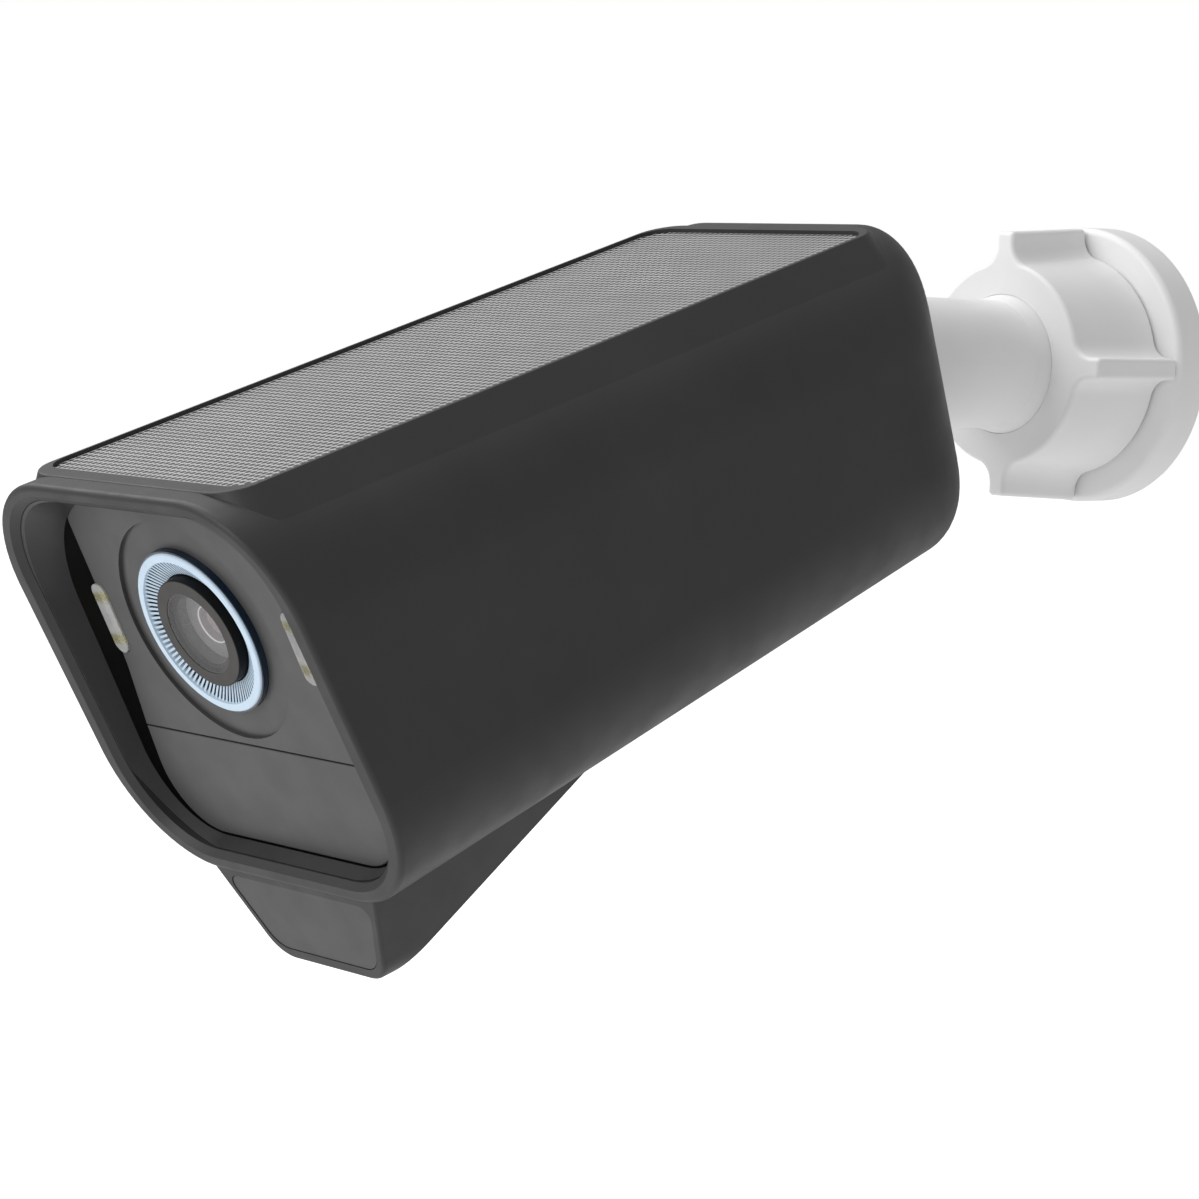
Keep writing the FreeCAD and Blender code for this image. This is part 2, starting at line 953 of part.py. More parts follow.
def back_opening(label):
    """The way through the hood's rear wall, inside the ledge."""
    half = D.back_half_width - D.back_ledge
    low = D.back_bottom + D.back_sill
    high = D.back_top - D.back_sill
    return block(label, (-half, half), (D.hood_rear - D.hood_back_wall - 1, D.hood_rear + 1), (low, high))


def screw_spots():
    across = D.back_half_width - D.back_screw_inset
    low = D.back_bottom + D.back_screw_inset
    high = D.back_top - D.back_screw_inset
    return [(side * across, z) for side in (-1, 1) for z in (low, high)]


BACK_SEAT = D.hood_rear - D.back_pocket
COVER_BACK = BACK_SEAT + D.gasket_thick
COVER_FACE = D.hood_rear + D.cover_proud


def make_deck():
    """The raised roof under the panel, its flanks falling to the hood's shoulders."""
    deck = extrude(
        "deck_blank",
        "XZ_Plane",
        D.deck_front,
        D.deck_rear,
        [
            (-D.deck_skirt_half, D.deck_skirt_z),
            (D.deck_skirt_half, D.deck_skirt_z),
            (D.deck_half_width, D.deck_top),
            (-D.deck_half_width, D.deck_top),
        ],
    )
    hollow = extrude(
        "deck_hollow",
        "XZ_Plane",
        D.deck_front - 1,
        D.deck_rear + 1,
        [
            (-D.deck_foot_half, D.deck_foot_z),
            (-D.deck_skirt_half - 1, D.deck_foot_z),
            (-D.deck_skirt_half - 1, D.deck_skirt_z - 1),
            (D.deck_skirt_half + 1, D.deck_skirt_z - 1),
            (D.deck_skirt_half + 1, D.deck_foot_z),
            (D.deck_foot_half, D.deck_foot_z),
            (D.deck_under_half, D.deck_under_z),
            (-D.deck_under_half, D.deck_under_z),
        ],
    )
    low = D.deck_skirt_z.number + 1
    high = D.deck_top.number - 1
    round_edges(deck, D.deck_round, lambda edge: low < edge.CenterOfMass.z < high)
    round_edges(deck, D.deck_edge_round, at_level("Z", D.deck_top))
    return cut("deck", deck, hollow)


def make_hood():
    rounds = (D.rear_side_round, D.rear_top_round, D.rear_belly_round)
    form = hood_form("hood_form", 0, 0, 0, 0, 0, rounds)
    cavity = cavity_form("hood_cavity", 0, D.rim_depth)
    mouth = mouth_form("hood_mouth", 0, -2, D.hood_rear - D.mouth_end)
    shell = cut("hood_shell", form, cavity, mouth)
    flared = dress_rim("rim_chamfer", "Chamfer", shell, True, D.rim_chamfer)
    rounded = dress_rim("rim_round", "Fillet", flared, False, D.rim_outer_round)
    gap = D.panel_gap
    pocket = rounded_block(
        "panel_pocket",
        (-D.panel_half_width - gap, D.panel_half_width + gap),
        (D.panel_front - gap, D.panel_rear + gap),
        (D.panel_top - D.panel_thick - D.adhesive_thick, D.deck_top + 1),
        D.panel_round + gap,
        Z_AXIS,
    )
    seat = back_plate("back_seat", -D.back_gap, BACK_SEAT, D.hood_rear + 1)
    tools = [pocket, seat, back_opening("back_opening")]
    for i, (across, up) in enumerate(screw_spots()):
        near = BACK_SEAT - D.screw_bite
        tools.append(rod(f"hood_screw_hole_{i}", across, up, D.back_screw_radius, near, BACK_SEAT + 1))
    blank = fuse("hood_and_deck", rounded, make_deck())
    keep("outer_hood", cut("outer_hood", blank, *tools), CAMERA)
    return form


def make_solar_panel():
    top = D.panel_top
    under = top - D.panel_thick
    panel = rounded_block(
        "solar_panel",
        (-D.panel_half_width, D.panel_half_width),
        (D.panel_front, D.panel_rear),
        (under, top),
        D.panel_round,
        Z_AXIS,
    )
    keep("solar_panel", panel, CAMERA)
    inset = D.adhesive_inset
    half = D.panel_half_width - inset
    tape = rounded_block(
        "panel_adhesive",
        (-half, half),
        (D.panel_front + inset, D.panel_rear - inset),
        (under - D.adhesive_thick, under),
        D.panel_round - inset,
        Z_AXIS,
    )
    keep("panel_adhesive", tape, CAMERA)


# ---------------------------------------------------------------- liner, bulkhead and face


def face_slab(label, near, far):
    """Everything between two depths behind the face plane, drawn in the camera frame."""
    reach = D.hood_half_width + 30
    slab = block(label, (-reach, reach), (near, far), (-2 * reach, 2 * reach))
    return put(slab, FACE_IN_CAMERA)


def make_liner():
    """A ring that narrows from the rim to the face plate."""
    outer = mouth_form("liner_outer", D.liner_gap, D.liner_start, D.hood_rear - D.mouth_end)
    front = common("liner_front", outer, face_slab("liner_slab", -40, -D.liner_end_gap))
    wedge = doc.addObject("Part::Wedge", "liner_wedge")
    spans = {
        "Xmin": -D.liner_front_half,
        "Xmax": D.liner_front_half,
        "Ymin": 0,
        "Ymax": D.liner_draft_depth,
        "Zmin": D.liner_front_bottom,
        "Zmax": D.liner_front_top,
        "X2min": -D.liner_back_half,
        "X2max": D.liner_back_half,
        "Z2min": D.liner_back_bottom,
        "Z2max": D.liner_back_top,
    }
    for name, value in spans.items():
        bind(wedge, name, value)
    middle = D.liner_draft_depth.number / 2

    def runs_back(edge):
        return abs(edge.CenterOfMass.y - middle) < 0.1 * middle

    def radius_at(point):
        if point.z < 0:
            return D.liner_floor_round.number
        return (D.liner_front_round if point.y < middle else D.liner_back_round).number

    opening = blend_edges("liner_opening", wedge, runs_back, radius_at)
    put(opening, RIM_IN_CAMERA)
    keep("hood_liner", cut("hood_liner", front, opening), CAMERA)


def side_points(low, high, inset):
    """The right-hand outline of the face between two heights, top first."""
    spots = [
        (D.face_top_half, D.face_top),
        (D.face_mid_half, D.face_mid_z),
        (D.face_low_half, D.face_low_z),
        (D.face_split_half, D.face_split),
        (D.face_wide_half, D.face_wide_z),
        (D.face_wide_half, D.face_bottom),
    ]
    chosen = [spot for spot in spots if low.number <= spot[1].number <= high.number]
    points = []
    for half, z in chosen:
        z = z - inset if z.number == D.face_top.number else z
        z = z + inset if z.number == D.face_bottom.number else z
        points.append((half - inset, z))
    return points


def face_polygon(low, high, inset=0):
    right = side_points(low, high, inset)
    return right + [(-half, z) for half, z in reversed(right)]


def soften_face(body, top_round=None, bottom_round=None):
    """Ease the bends of the sides, and round the corners that belong to the piece."""
    along = parallel(Y_AXIS)
    low = as_size(D.face_bottom).number + 3
    high = as_size(D.face_top).number - 3
    split = D.face_split.number

    def is_bend(edge):
        z = edge.CenterOfMass.z
        return along(edge) and low < z < high and abs(z - split) > 1.5

    round_edges(body, D.face_bend_round, is_bend)
    if top_round is not None:
        round_edges(body, top_round, lambda e: along(e) and e.CenterOfMass.z > high)
    if bottom_round is not None:
        round_edges(body, bottom_round, lambda e: along(e) and e.CenterOfMass.z < low)


def window_slot(label, side, grow, near, far):
    """The round-ended outline of a light window between two depths, in the face frame."""
    centre = side * D.window_x
    half = D.window_width / 2 + grow
    tall = D.window_length / 2 + grow
    return rounded_block(
        label,
        (centre - half, centre + half),
        (near, far),
        (D.window_z - tall, D.window_z + tall),
        half - 0.03,
        Y_AXIS,
    )


def make_face_plates():
    upper = extrude(
        "upper_blank", "XZ_Plane", 0, D.face_thick, face_polygon(D.face_split, D.face_top)
    )
    soften_face(upper, top_round=D.face_top_round)
    round_edges(upper, D.face_edge_round, at_level("Y", 0))
    tools = [
        rod("dish", 0, 0, D.dish_radius, -1, D.dish_depth),
        rod("ring_hole", 0, 0, D.ring_hole_radius, -1, D.face_thick + 1),
        block(
            "split_line",
            (-D.hood_half_width, D.hood_half_width),
            (-1, D.face_thick + 1),
            (D.face_split - 1, D.face_split + D.split_gap / 2),
        ),
    ]
    for name, side in SIDES:
        slot = window_slot(f"plate_notch_{name}", side, D.window_gap, -1, D.face_thick + 1)
        tools.append(slot)
    keep("upper_face_plate", cut("upper_face_plate", upper, *tools), FACE)
    lower = extrude(
        "lower_blank", "XZ_Plane", 0, D.face_thick, face_polygon(D.face_bottom, D.face_split)
    )
    soften_face(lower, bottom_round=D.face_bottom_round)
    round_edges(lower, D.face_edge_round, at_level("Y", 0))
    gap = block(
        "split_line_below",
        (-D.hood_half_width, D.hood_half_width),
        (-1, D.face_thick + 1),
        (D.face_split - D.split_gap / 2, D.face_split + 1),
    )
    keep("lower_face_plate", cut("lower_face_plate", lower, gap), FACE)


def make_bulkhead():
    grow = D.flange_gap
    cavity = cavity_form("flange_cavity", grow, D.rim_depth + grow)
    mouth = mouth_form("flange_mouth", grow, 0, D.hood_rear - D.mouth_end + grow)
    room = fuse("flange_room", cavity, mouth)
    slab = face_slab("flange_slab", D.block_depth, D.block_depth + D.flange_thick)
    flange = common("flange", room, slab)
    core = extrude(
        "block_core",
        "XZ_Plane",
        D.face_thick,
        D.block_depth,
        face_polygon(D.face_bottom, D.face_top, D.block_inset),
    )
    soften_face(core, D.face_top_round, D.face_bottom_round - D.block_inset)
    put(core, FACE_IN_CAMERA)
    far = D.block_depth + D.flange_thick + 1
    tools = [
        rod("barrel_bore", 0, 0, D.barrel_front_radius + D.barrel_clearance, 0, far),
        rod("ring_board_pocket", 0, 0, D.ring_hole_radius, 0, D.face_thick + D.ring_board_room),
        rod("microphone_bore", D.microphone_x, D.microphone_z, D.microphone_radius, 0, far),
    ]
    for name, side in SIDES:
        tools.append(window_slot(f"block_notch_{name}", side, D.window_gap, 0, D.block_depth))
    for tool in tools:
        put(tool, FACE_IN_CAMERA)
    keep("front_bulkhead", cut("front_bulkhead", fuse("bulkhead_blank", flange, core), *tools), CAMERA)


def make_lens_ring():
    ring = rod("light_ring", 0, 0, D.ring_radius, D.ring_front, D.ring_back, D.ring_band_radius)
    round_edges(ring, D.ring_edge_round, circle_at(D.ring_radius, D.ring_front))
    sketch = new_sketch(ring, "YZ_Plane", -D.fin_width / 2)
    root = D.ring_band_radius + 0.2
    draw_polygon(
        sketch,
        [
            (D.fin_inner_front, D.ring_inner_radius),
            (D.fin_back, D.ring_inner_radius),
            (D.fin_back, root),
            (D.fin_front, root),
        ],
    )
    fin = add_pad(ring, sketch, D.fin_width)
    doc.recompute()
    axis = [part for part in ring.Origin.OriginFeatures if part.Role == "Y_Axis"][0]
    pattern = ring.newObject("PartDesign::PolarPattern", "fin_pattern")
    pattern.Originals = [fin]
    pattern.Axis = (axis, [""])
    pattern.Angle = 360
    bind(pattern, "Occurrences", D.fin_count)
    ring.Tip = pattern
    keep("light_ring", ring, FACE)
    sleeve = rod(
        "ring_sleeve",
        0,
        0,
        D.ring_hole_radius - 0.05,
        D.sleeve_front,
        D.ring_back,
        D.ring_radius,
    )
    keep("ring_sleeve", sleeve, FACE)
    board = rod(
        "ring_light_board",
        0,
        0,
        D.ring_radius,
        D.face_thick,
        D.face_thick + D.led_board_thick,
        D.barrel_front_radius + D.barrel_clearance,
    )
    keep("ring_light_board", board, FACE)


def make_lens_window():
    ledge = D.glass_radius - D.glass_seat
    seat = D.glass_front + D.glass_thick
    floor = D.fin_back + 0.2
    bore = D.glass_radius + 0.02
    bezel = turn(
        "lens_bezel",
        [
            (bore, D.bezel_front),
            (D.bezel_radius, D.bezel_front),
            (D.bezel_radius, floor),
            (D.ring_band_radius - 0.05, floor),
            (D.ring_band_radius - 0.05, D.ring_back),
            (ledge, D.ring_back),
            (ledge, seat),
            (bore, seat),
        ],
    )
    round_edges(bezel, D.bezel_round, circle_at(D.bezel_radius, D.bezel_front))
    keep("lens_bezel", bezel, FACE)
    glass = rod("lens_glass", 0, 0, D.glass_radius, D.glass_front, seat)
    keep("lens_glass", glass, FACE)


def make_light_windows():
    """Each window is a clear cup over a small board with two white lamps and one infrared lamp."""
    spots = []
    infrared = []
    for name, side in SIDES:
        label = "led_window_" + name
        outer = window_slot(label + "_outer", side, 0, D.window_front, D.window_back)
        hollow = window_slot(
            label + "_hollow",
            side,
            -D.window_skin,
            D.window_front + D.window_skin,
            D.window_back + 1,
        )
        keep(label, cut(label, outer, hollow), FACE)
        centre = side * D.window_x
        half = D.window_width / 2 - D.window_skin - 0.1
        tall = D.window_length / 2 - D.window_skin - 0.8
        front = D.led_board_front
        board = block(
            "led_board_" + name,
            (centre - half, centre + half),
            (front, front + D.led_board_thick),
            (D.window_z - tall, D.window_z + tall),
        )
        keep("led_board_" + name, board, FACE)
        for step, group in ((-1, spots), (0, infrared), (1, spots)):
            z = D.window_z + step * D.led_spacing
            lamp = block(
                f"lamp_{name}_{step + 1}",
                (centre - D.led_half, centre + D.led_half),
                (front - D.led_height, front),
                (z - D.led_half, z + D.led_half),
            )
            group.append(lamp)
    keep("spot_leds", gather("spot_leds", spots), FACE)
    keep("infrared_leds", gather("infrared_leds", infrared), FACE)


# ---------------------------------------------------------------- chin


def chin_form(label, inset, setback):
    """The wedge below the hood, shrunk by inset, with its front setback behind the rim's plane."""
    drop = D.chin_drop - inset
    wide = D.chin_top_half_width - inset
    narrow = D.chin_bottom_half_width - inset
    front = extrude(
        label + "_front",
        "XZ_Plane",
        -10,
        70,
        [(-wide, D.chin_join_z), (-narrow, -drop), (narrow, -drop), (wide, D.chin_join_z)],
    )
    along = parallel(Y_AXIS)
    low = -drop.number + 1
    round_edges(front, D.chin_corner_round - inset, lambda e: along(e) and e.CenterOfMass.z < low)
    top = D.chin_join_z + 6
    toe = rim_y(-drop, setback)
    slope = (D.chin_drop + D.chin_heel_z) / (D.chin_heel_y - rim_y(-D.chin_drop, D.chin_setback))
    heel = D.chin_heel_y - 2 * inset + (top - D.chin_heel_z) / slope
    side = extrude(
        label + "_side",
        "YZ_Plane",
        -40,
        40,
        [(rim_y(top, setback), top), (heel, top), (toe + D.chin_toe_flat, -drop), (toe, -drop)],
    )
    return common(label, front, side)


def make_chin(hood):
    outer = chin_form("chin_outer", as_size(0), D.chin_setback)
    to_rim = RIM_IN_CAMERA.inverse()
    depth = D.chin_setback.number * D.rim_cosine.number

    def on_front(edge):
        middle = edge.valueAt((edge.FirstParameter + edge.LastParameter) / 2)
        ends = [edge.valueAt(edge.FirstParameter), edge.valueAt(edge.LastParameter)]
        front = max(abs(to_rim.multVec(end).y - depth) for end in ends) < 0.01
        return front and middle.z < D.chin_join_z.number

    rounded = blend_edges("chin_round", outer, on_front, lambda point: D.chin_edge_round.number)
    inner = chin_form("chin_inner", D.chin_wall, D.chin_setback + D.chin_wall)
    window = pir_outline("pir_seat", 0.12, D.chin_setback - 1, D.chin_setback + D.pir_thick)
    hole = pir_outline("pir_opening", -D.pir_ledge, D.chin_setback, D.chin_setback + D.pir_seat)
    keep("chin_housing", cut("chin_housing", rounded, hood, inner, window, hole), CAMERA)
    pane = pir_outline("pir_pane", 0, D.chin_setback + 0.1, D.chin_setback + D.pir_thick)
    behind = D.chin_setback + D.pir_thick + 0.6
    plug = pir_outline("pir_pane_back", -D.pir_ledge - D.fit_gap, D.chin_setback + 0.5, behind)
    keep("pir_window", fuse("pir_window", pane, plug), CAMERA)


def make_motion_sensor():
    can = rod(
        "pir_sensor",
        0,
        D.pir_z,
        D.pir_can_radius,
        D.pir_sensor_y,
        D.pir_sensor_y + D.pir_can_length,
    )
    keep("pir_sensor", can, RIM)
    back = D.pir_sensor_y + D.pir_can_length
    half = D.pir_board_half
    tall = D.pir_board_half_height
    board = block("pir_board", (-half, half), (back, back + 1), (D.pir_z - tall, D.pir_z + tall))
    keep("pir_board", board, RIM)


def pir_outline(label, grow, near, far):
    """The window's outline in the chin's front between two depths behind the rim's plane."""
    high = D.pir_top_z + grow
    low = -(D.chin_drop / D.rim_cosine) + D.pir_border - grow
    slope = (D.chin_top_half_width - D.chin_bottom_half_width) / (D.chin_drop + D.chin_join_z)
    half_low = D.chin_bottom_half_width - D.pir_border + slope * D.pir_border + grow
    half_high = half_low + slope * (high - low)
    body = extrude(
        label,
        "XZ_Plane",
        near,
        far,
        [(-half_high, high), (-half_low, low), (half_low, low), (half_high, high)],
    )
    along = parallel(Y_AXIS)
    middle = (high.number + low.number) / 2
    low_round = D.chin_corner_round - D.pir_border + grow
    round_edges(body, low_round, lambda e: along(e) and e.CenterOfMass.z < middle)
    round_edges(body, D.pir_top_round + grow, lambda e: along(e) and e.CenterOfMass.z > middle)
    return put(body, RIM_IN_CAMERA)


# ---------------------------------------------------------------- rear cover


def make_rear_cover():
    plate = back_plate("cover_plate", 0, COVER_BACK, COVER_FACE)
    round_edges(plate, D.cover_edge_round, at_level("Y", COVER_FACE))
    boss = rod("cover_boss", 0, 0, D.boss_radius, -D.boss_root, -D.boss_tip)
    round_edges(boss, D.boss_edge_round, circle_at(D.boss_radius, -D.boss_tip))
    put(boss, ROW_IN_CAMERA)
    low = D.hinge_z - D.hinge_radius
    lugs = []
    for name, side in SIDES:
        near = D.flap_x + side * (D.hinge_half_length + 0.2)
        far = near + side * D.lug_length
        span = (near, far) if side > 0 else (far, near)
        reach = (COVER_FACE - 1, D.hinge_y + D.lug_reach)
        lug = block(f"lug_{name}", span, reach, (low, D.hinge_z + D.lug_rise))
        round_edges(lug, D.lug_round, parallel_where(X_AXIS, lambda p: p.y > D.hinge_y.number))
        lugs.append(lug)
    blank = fuse("cover_blank", plate, boss, *lugs)
    gap = D.flap_gap
    half = D.flap_half_width + gap
    near = COVER_BACK - 1
    far = COVER_FACE + 1
    pin_reach = D.flap_half_width
    pin_circle = (D.hinge_y, D.hinge_z, D.pin_radius)
    tools = [
        put(rod("insert_seat", 0, 0, D.insert_radius, -D.insert_end, -D.boss_tip + 1), ROW_IN_CAMERA),
        block(
            "flap_seat",
            (D.flap_x - half, D.flap_x + half),
            (COVER_FACE - D.flap_thick - D.fit_gap, far),
            (D.flap_bottom - gap, D.flap_top + D.flap_top_gap),
        ),
        block(
            "port_window",
            (D.flap_x - half + 1, D.flap_x + half - 1),
            (near, COVER_FACE),
            (D.port_z - D.port_window_half, D.port_z + D.port_window_half),
        ),
        rod("button_hole", D.button_x, D.button_z, D.button_radius + D.button_gap, near, far),
        extrude("pin_hole", "YZ_Plane", D.flap_x - pin_reach, D.flap_x + pin_reach, circles=[pin_circle]),
    ]
    for i, (across, up) in enumerate(screw_spots()):
        tools.append(rod(f"cover_screw_hole_{i}", across, up, D.back_screw_radius, near, far))
        sink = COVER_FACE - D.screw_head_depth
        tools.append(rod(f"cover_screw_sink_{i}", across, up, D.back_screw_head, sink, far))
    keep("rear_cover", cut("rear_cover", blank, *tools), CAMERA)
    insert = rod(
        "threaded_insert",
        0,
        0,
        D.insert_radius,
        -D.insert_end,
        -D.insert_start,
        D.stud_radius + D.thread_play,
    )
    keep("threaded_insert", insert, ROW)
    seal = back_plate("seal_plate", D.back_gap, BACK_SEAT, COVER_BACK)
    holes = [back_opening("seal_opening")]
    for i, (across, up) in enumerate(screw_spots()):
        radius = D.back_screw_radius + D.back_gap
        holes.append(rod(f"seal_hole_{i}", across, up, radius, BACK_SEAT - 1, COVER_BACK + 1))
    keep("rear_gasket", cut("rear_gasket", seal, *holes), CAMERA)


def make_rear_screws():
    screws = []
    face = COVER_FACE - D.fit_gap
    tip = face - D.back_screw_length
    for i, (across, up) in enumerate(screw_spots()):
        shank = rod(f"rear_shank_{i}", across, up, D.back_screw_radius, tip, face - 0.5)
        sink = COVER_FACE - D.screw_head_depth
        head = rod(f"rear_head_{i}", across, up, D.back_screw_head - 0.05, sink, face)
        socket = block(
            f"rear_socket_{i}",
            (across - D.drive_half, across + D.drive_half),
            (face - 0.7, face + 1),
            (up - D.drive_half, up + D.drive_half),
        )
        screws.append(cut(f"rear_screw_{i}", fuse(f"rear_screw_blank_{i}", shank, head), socket))
    keep("rear_screws", gather("rear_screws", screws), CAMERA)


def make_port_flap():
    half = D.flap_half_width
    face = COVER_FACE
    plate = block(
        "flap_plate",
        (D.flap_x - half, D.flap_x + half),
        (face - D.flap_thick, face),
        (D.flap_bottom, D.flap_top),
    )
    inner_top = D.flap_top.number
    inside = COVER_FACE.number - D.flap_thick.number

    def is_inner_top(edge):
        centre = edge.CenterOfMass
        return abs(centre.z - inner_top) < 1e-3 and abs(centre.y - inside) < 1e-3

    chamfer_edges(plate, D.flap_top_bevel, is_inner_top)
    low = D.flap_x - D.hinge_half_length
    high = D.flap_x + D.hinge_half_length
    knuckle = (D.hinge_y, D.hinge_z, D.hinge_radius)
    barrel = extrude("flap_barrel", "YZ_Plane", low, high, circles=[knuckle])
    web = extrude(
        "flap_web",
        "YZ_Plane",
        low,
        high,
        [
            (face - 0.5, D.flap_bottom),
            (face + 0.1, D.flap_bottom),
            (D.hinge_y - 0.9, D.hinge_z + 0.1),
            (D.hinge_y, D.hinge_z),
            (D.hinge_y + 0.7, D.hinge_z + 0.7),
            (face, D.flap_bottom + 1.2),
            (face - 0.5, D.flap_bottom + 1.2),
        ],
    )
    bore = extrude(
        "flap_bore",
        "YZ_Plane",
        low - 1,
        high + 1,
        circles=[(D.hinge_y, D.hinge_z, D.pin_radius + D.pin_play)],
    )
    keep("port_flap", cut("port_flap", fuse("flap_blank", plate, barrel, web), bore), CAMERA)
    reach = D.hinge_half_length + 0.2 + D.lug_length
    pin = extrude(
        "flap_pin",
        "YZ_Plane",
        D.flap_x - reach,
        D.flap_x + reach,
        circles=[(D.hinge_y, D.hinge_z, D.pin_radius)],
    )
    keep("flap_pin", pin, CAMERA)


def make_power_button():
    button = rod(
        "power_button",
        D.button_x,
        D.button_z,
        D.button_radius,
        BACK_SEAT + D.button_travel + 0.2,
        COVER_FACE + D.button_travel + 0.3,
    )
    round_edges(button, 0.4, at_level("Y", COVER_FACE + D.button_travel + 0.3))
    keep("power_button", button, CAMERA)
    front = D.port_board_y + D.board_thick
    half = D.switch_half
    switch = block(
        "button_switch",
        (D.button_x - half, D.button_x + half),
        (front, BACK_SEAT + 0.1),
        (D.button_z - half, D.button_z + half),
    )
    keep("button_switch", switch, CAMERA)


# ---------------------------------------------------------------- optics


def make_lens():
    barrel = turn(
        "lens_barrel",
        [
            (D.barrel_bore, D.barrel_front),
            (D.barrel_front_radius, D.barrel_front),
            (D.barrel_front_radius, D.barrel_step),
            (D.barrel_rear_radius, D.barrel_step),
            (D.barrel_rear_radius, D.barrel_back),
            (D.barrel_bore, D.barrel_back),
        ],
    )
    keep("lens_barrel", barrel, FACE)
    disc = rod(
        "objective_disc",
        0,
        0,
        D.objective_radius,
        D.objective_front,
        D.objective_front + D.objective_thick,
    )
    dome = sphere("objective_dome", D.objective_sphere, D.objective_front + D.objective_sphere)
    keep("front_lens", common("front_lens", disc, dome), FACE)
    rear = rod(
        "rear_lens",
        0,
        0,
        D.objective_radius,
        D.rear_lens_front,
        D.rear_lens_front + D.rear_lens_thick,
    )
    keep("rear_lens", rear, FACE)


def make_sensor():
    wide = D.holder_half_width
    half = D.holder_half
    body = block("holder_blank", (-wide, wide), (D.holder_front, D.holder_back), (-half, half))
    slot_front = D.filter_front - D.slot_play
    slot_back = D.filter_front + D.filter_thick + D.slot_play
    slot_half = D.slot_half_width
    room = D.filter_half_height + D.slot_play
    tools = [
        rod("holder_bore", 0, 0, D.barrel_rear_radius, D.holder_front - 1, D.barrel_back),
        rod("holder_light_path", 0, 0, D.barrel_bore, D.barrel_back - 1, D.holder_back + 1),
        block("filter_slot", (-slot_half, slot_half), (slot_front, slot_back), (-room, room)),
        block(
            "sensor_room",
            (-D.sensor_room_half, D.sensor_room_half),
            (slot_back + 1, D.holder_back + 1),
            (-D.sensor_room_half, D.sensor_room_half),
        ),
    ]
    keep("lens_holder", cut("lens_holder", body, *tools), FACE)
    sensor = block(
        "image_sensor",
        (-D.sensor_half, D.sensor_half),
        (D.holder_back - D.sensor_thick, D.holder_back),
        (-D.sensor_half, D.sensor_half),
    )
    keep("image_sensor", sensor, FACE)
    half = D.sensor_board_half
    back = D.holder_back + D.board_thick
    board = block("sensor_board", (-half, half), (D.holder_back, back), (-half, half))
    keep("sensor_board", board, FACE)


def make_filter_shuttle():
    """A frame with a day filter on the lens axis and a clear pane beside it."""
    near = D.filter_front
    far = near + D.filter_thick
    reach = D.filter_window_radius + 1.2
    frame = block(
        "filter_frame_blank",
        (-D.filter_travel - reach, reach),
        (near, far),
        (-D.filter_half_height, D.filter_half_height),
    )
    holes = []
    for name, across in (("day", as_size(0)), ("night", -D.filter_travel)):
        holes.append(rod(f"{name}_hole", across, 0, D.filter_window_radius, near - 1, far + 1))
    keep("filter_frame", cut("filter_frame", frame, *holes), FACE)
    day = rod("ir_cut_filter", 0, 0, D.filter_window_radius, near, far)
    night = rod("clear_filter", -D.filter_travel, 0, D.filter_window_radius, near, far)
    keep("ir_cut_filter", day, FACE)
    keep("clear_filter", night, FACE)


# ---------------------------------------------------------------- electronics


def post_spots():
    across = D.post_x
    return [
        (side * across, y)
        for side in (-1, 1)
        for y in (D.main_board_front + 4, D.main_board_rear - 4)
    ]


def make_tray():
    top = D.tray_top
    floor = block(
        "tray_floor",
        (-D.tray_half_width, D.tray_half_width),
        (D.tray_front, D.tray_rear),
        (top - D.tray_thick, top),
    )
    posts = []
    for i, (across, along) in enumerate(post_spots()):
        posts.append(post(f"tray_post_{i}", across, along, D.post_radius, top - 1, D.main_board_z))
    holes = []
    for i, (across, along) in enumerate(post_spots()):
        low = D.main_board_z - D.board_screw_length
        holes.append(post(f"post_hole_{i}", across, along, D.board_screw_radius, low, D.main_board_z + 1))
    keep("inner_tray", cut("inner_tray", fuse("tray_blank", floor, *posts), *holes), CAMERA)


def make_battery():
    cells = []
    rooms = []
    z = D.tray_top + D.holder_wall + D.cell_radius
    end = D.cell_start + D.cell_length
    for i, side in enumerate((-1, 1)):
        across = side * D.cell_pitch / 2
        cells.append(rod(f"cell_{i}", across, z, D.cell_radius, D.cell_start, end))
        rooms.append(rod(f"cell_room_{i}", across, z, D.cell_radius + 0.1, D.cell_start - 0.2, end + 0.2))
    keep("battery_cells", gather("battery_cells", cells), CAMERA)
    half = D.cell_pitch / 2 + D.cell_radius + D.holder_wall
    cradle = block(
        "cradle",
        (-half, half),
        (D.cell_start - 2, end + 2),
        (D.tray_top, D.tray_top + D.holder_rib),
    )
    keep("battery_holder", cut("battery_holder", cradle, *rooms), CAMERA)


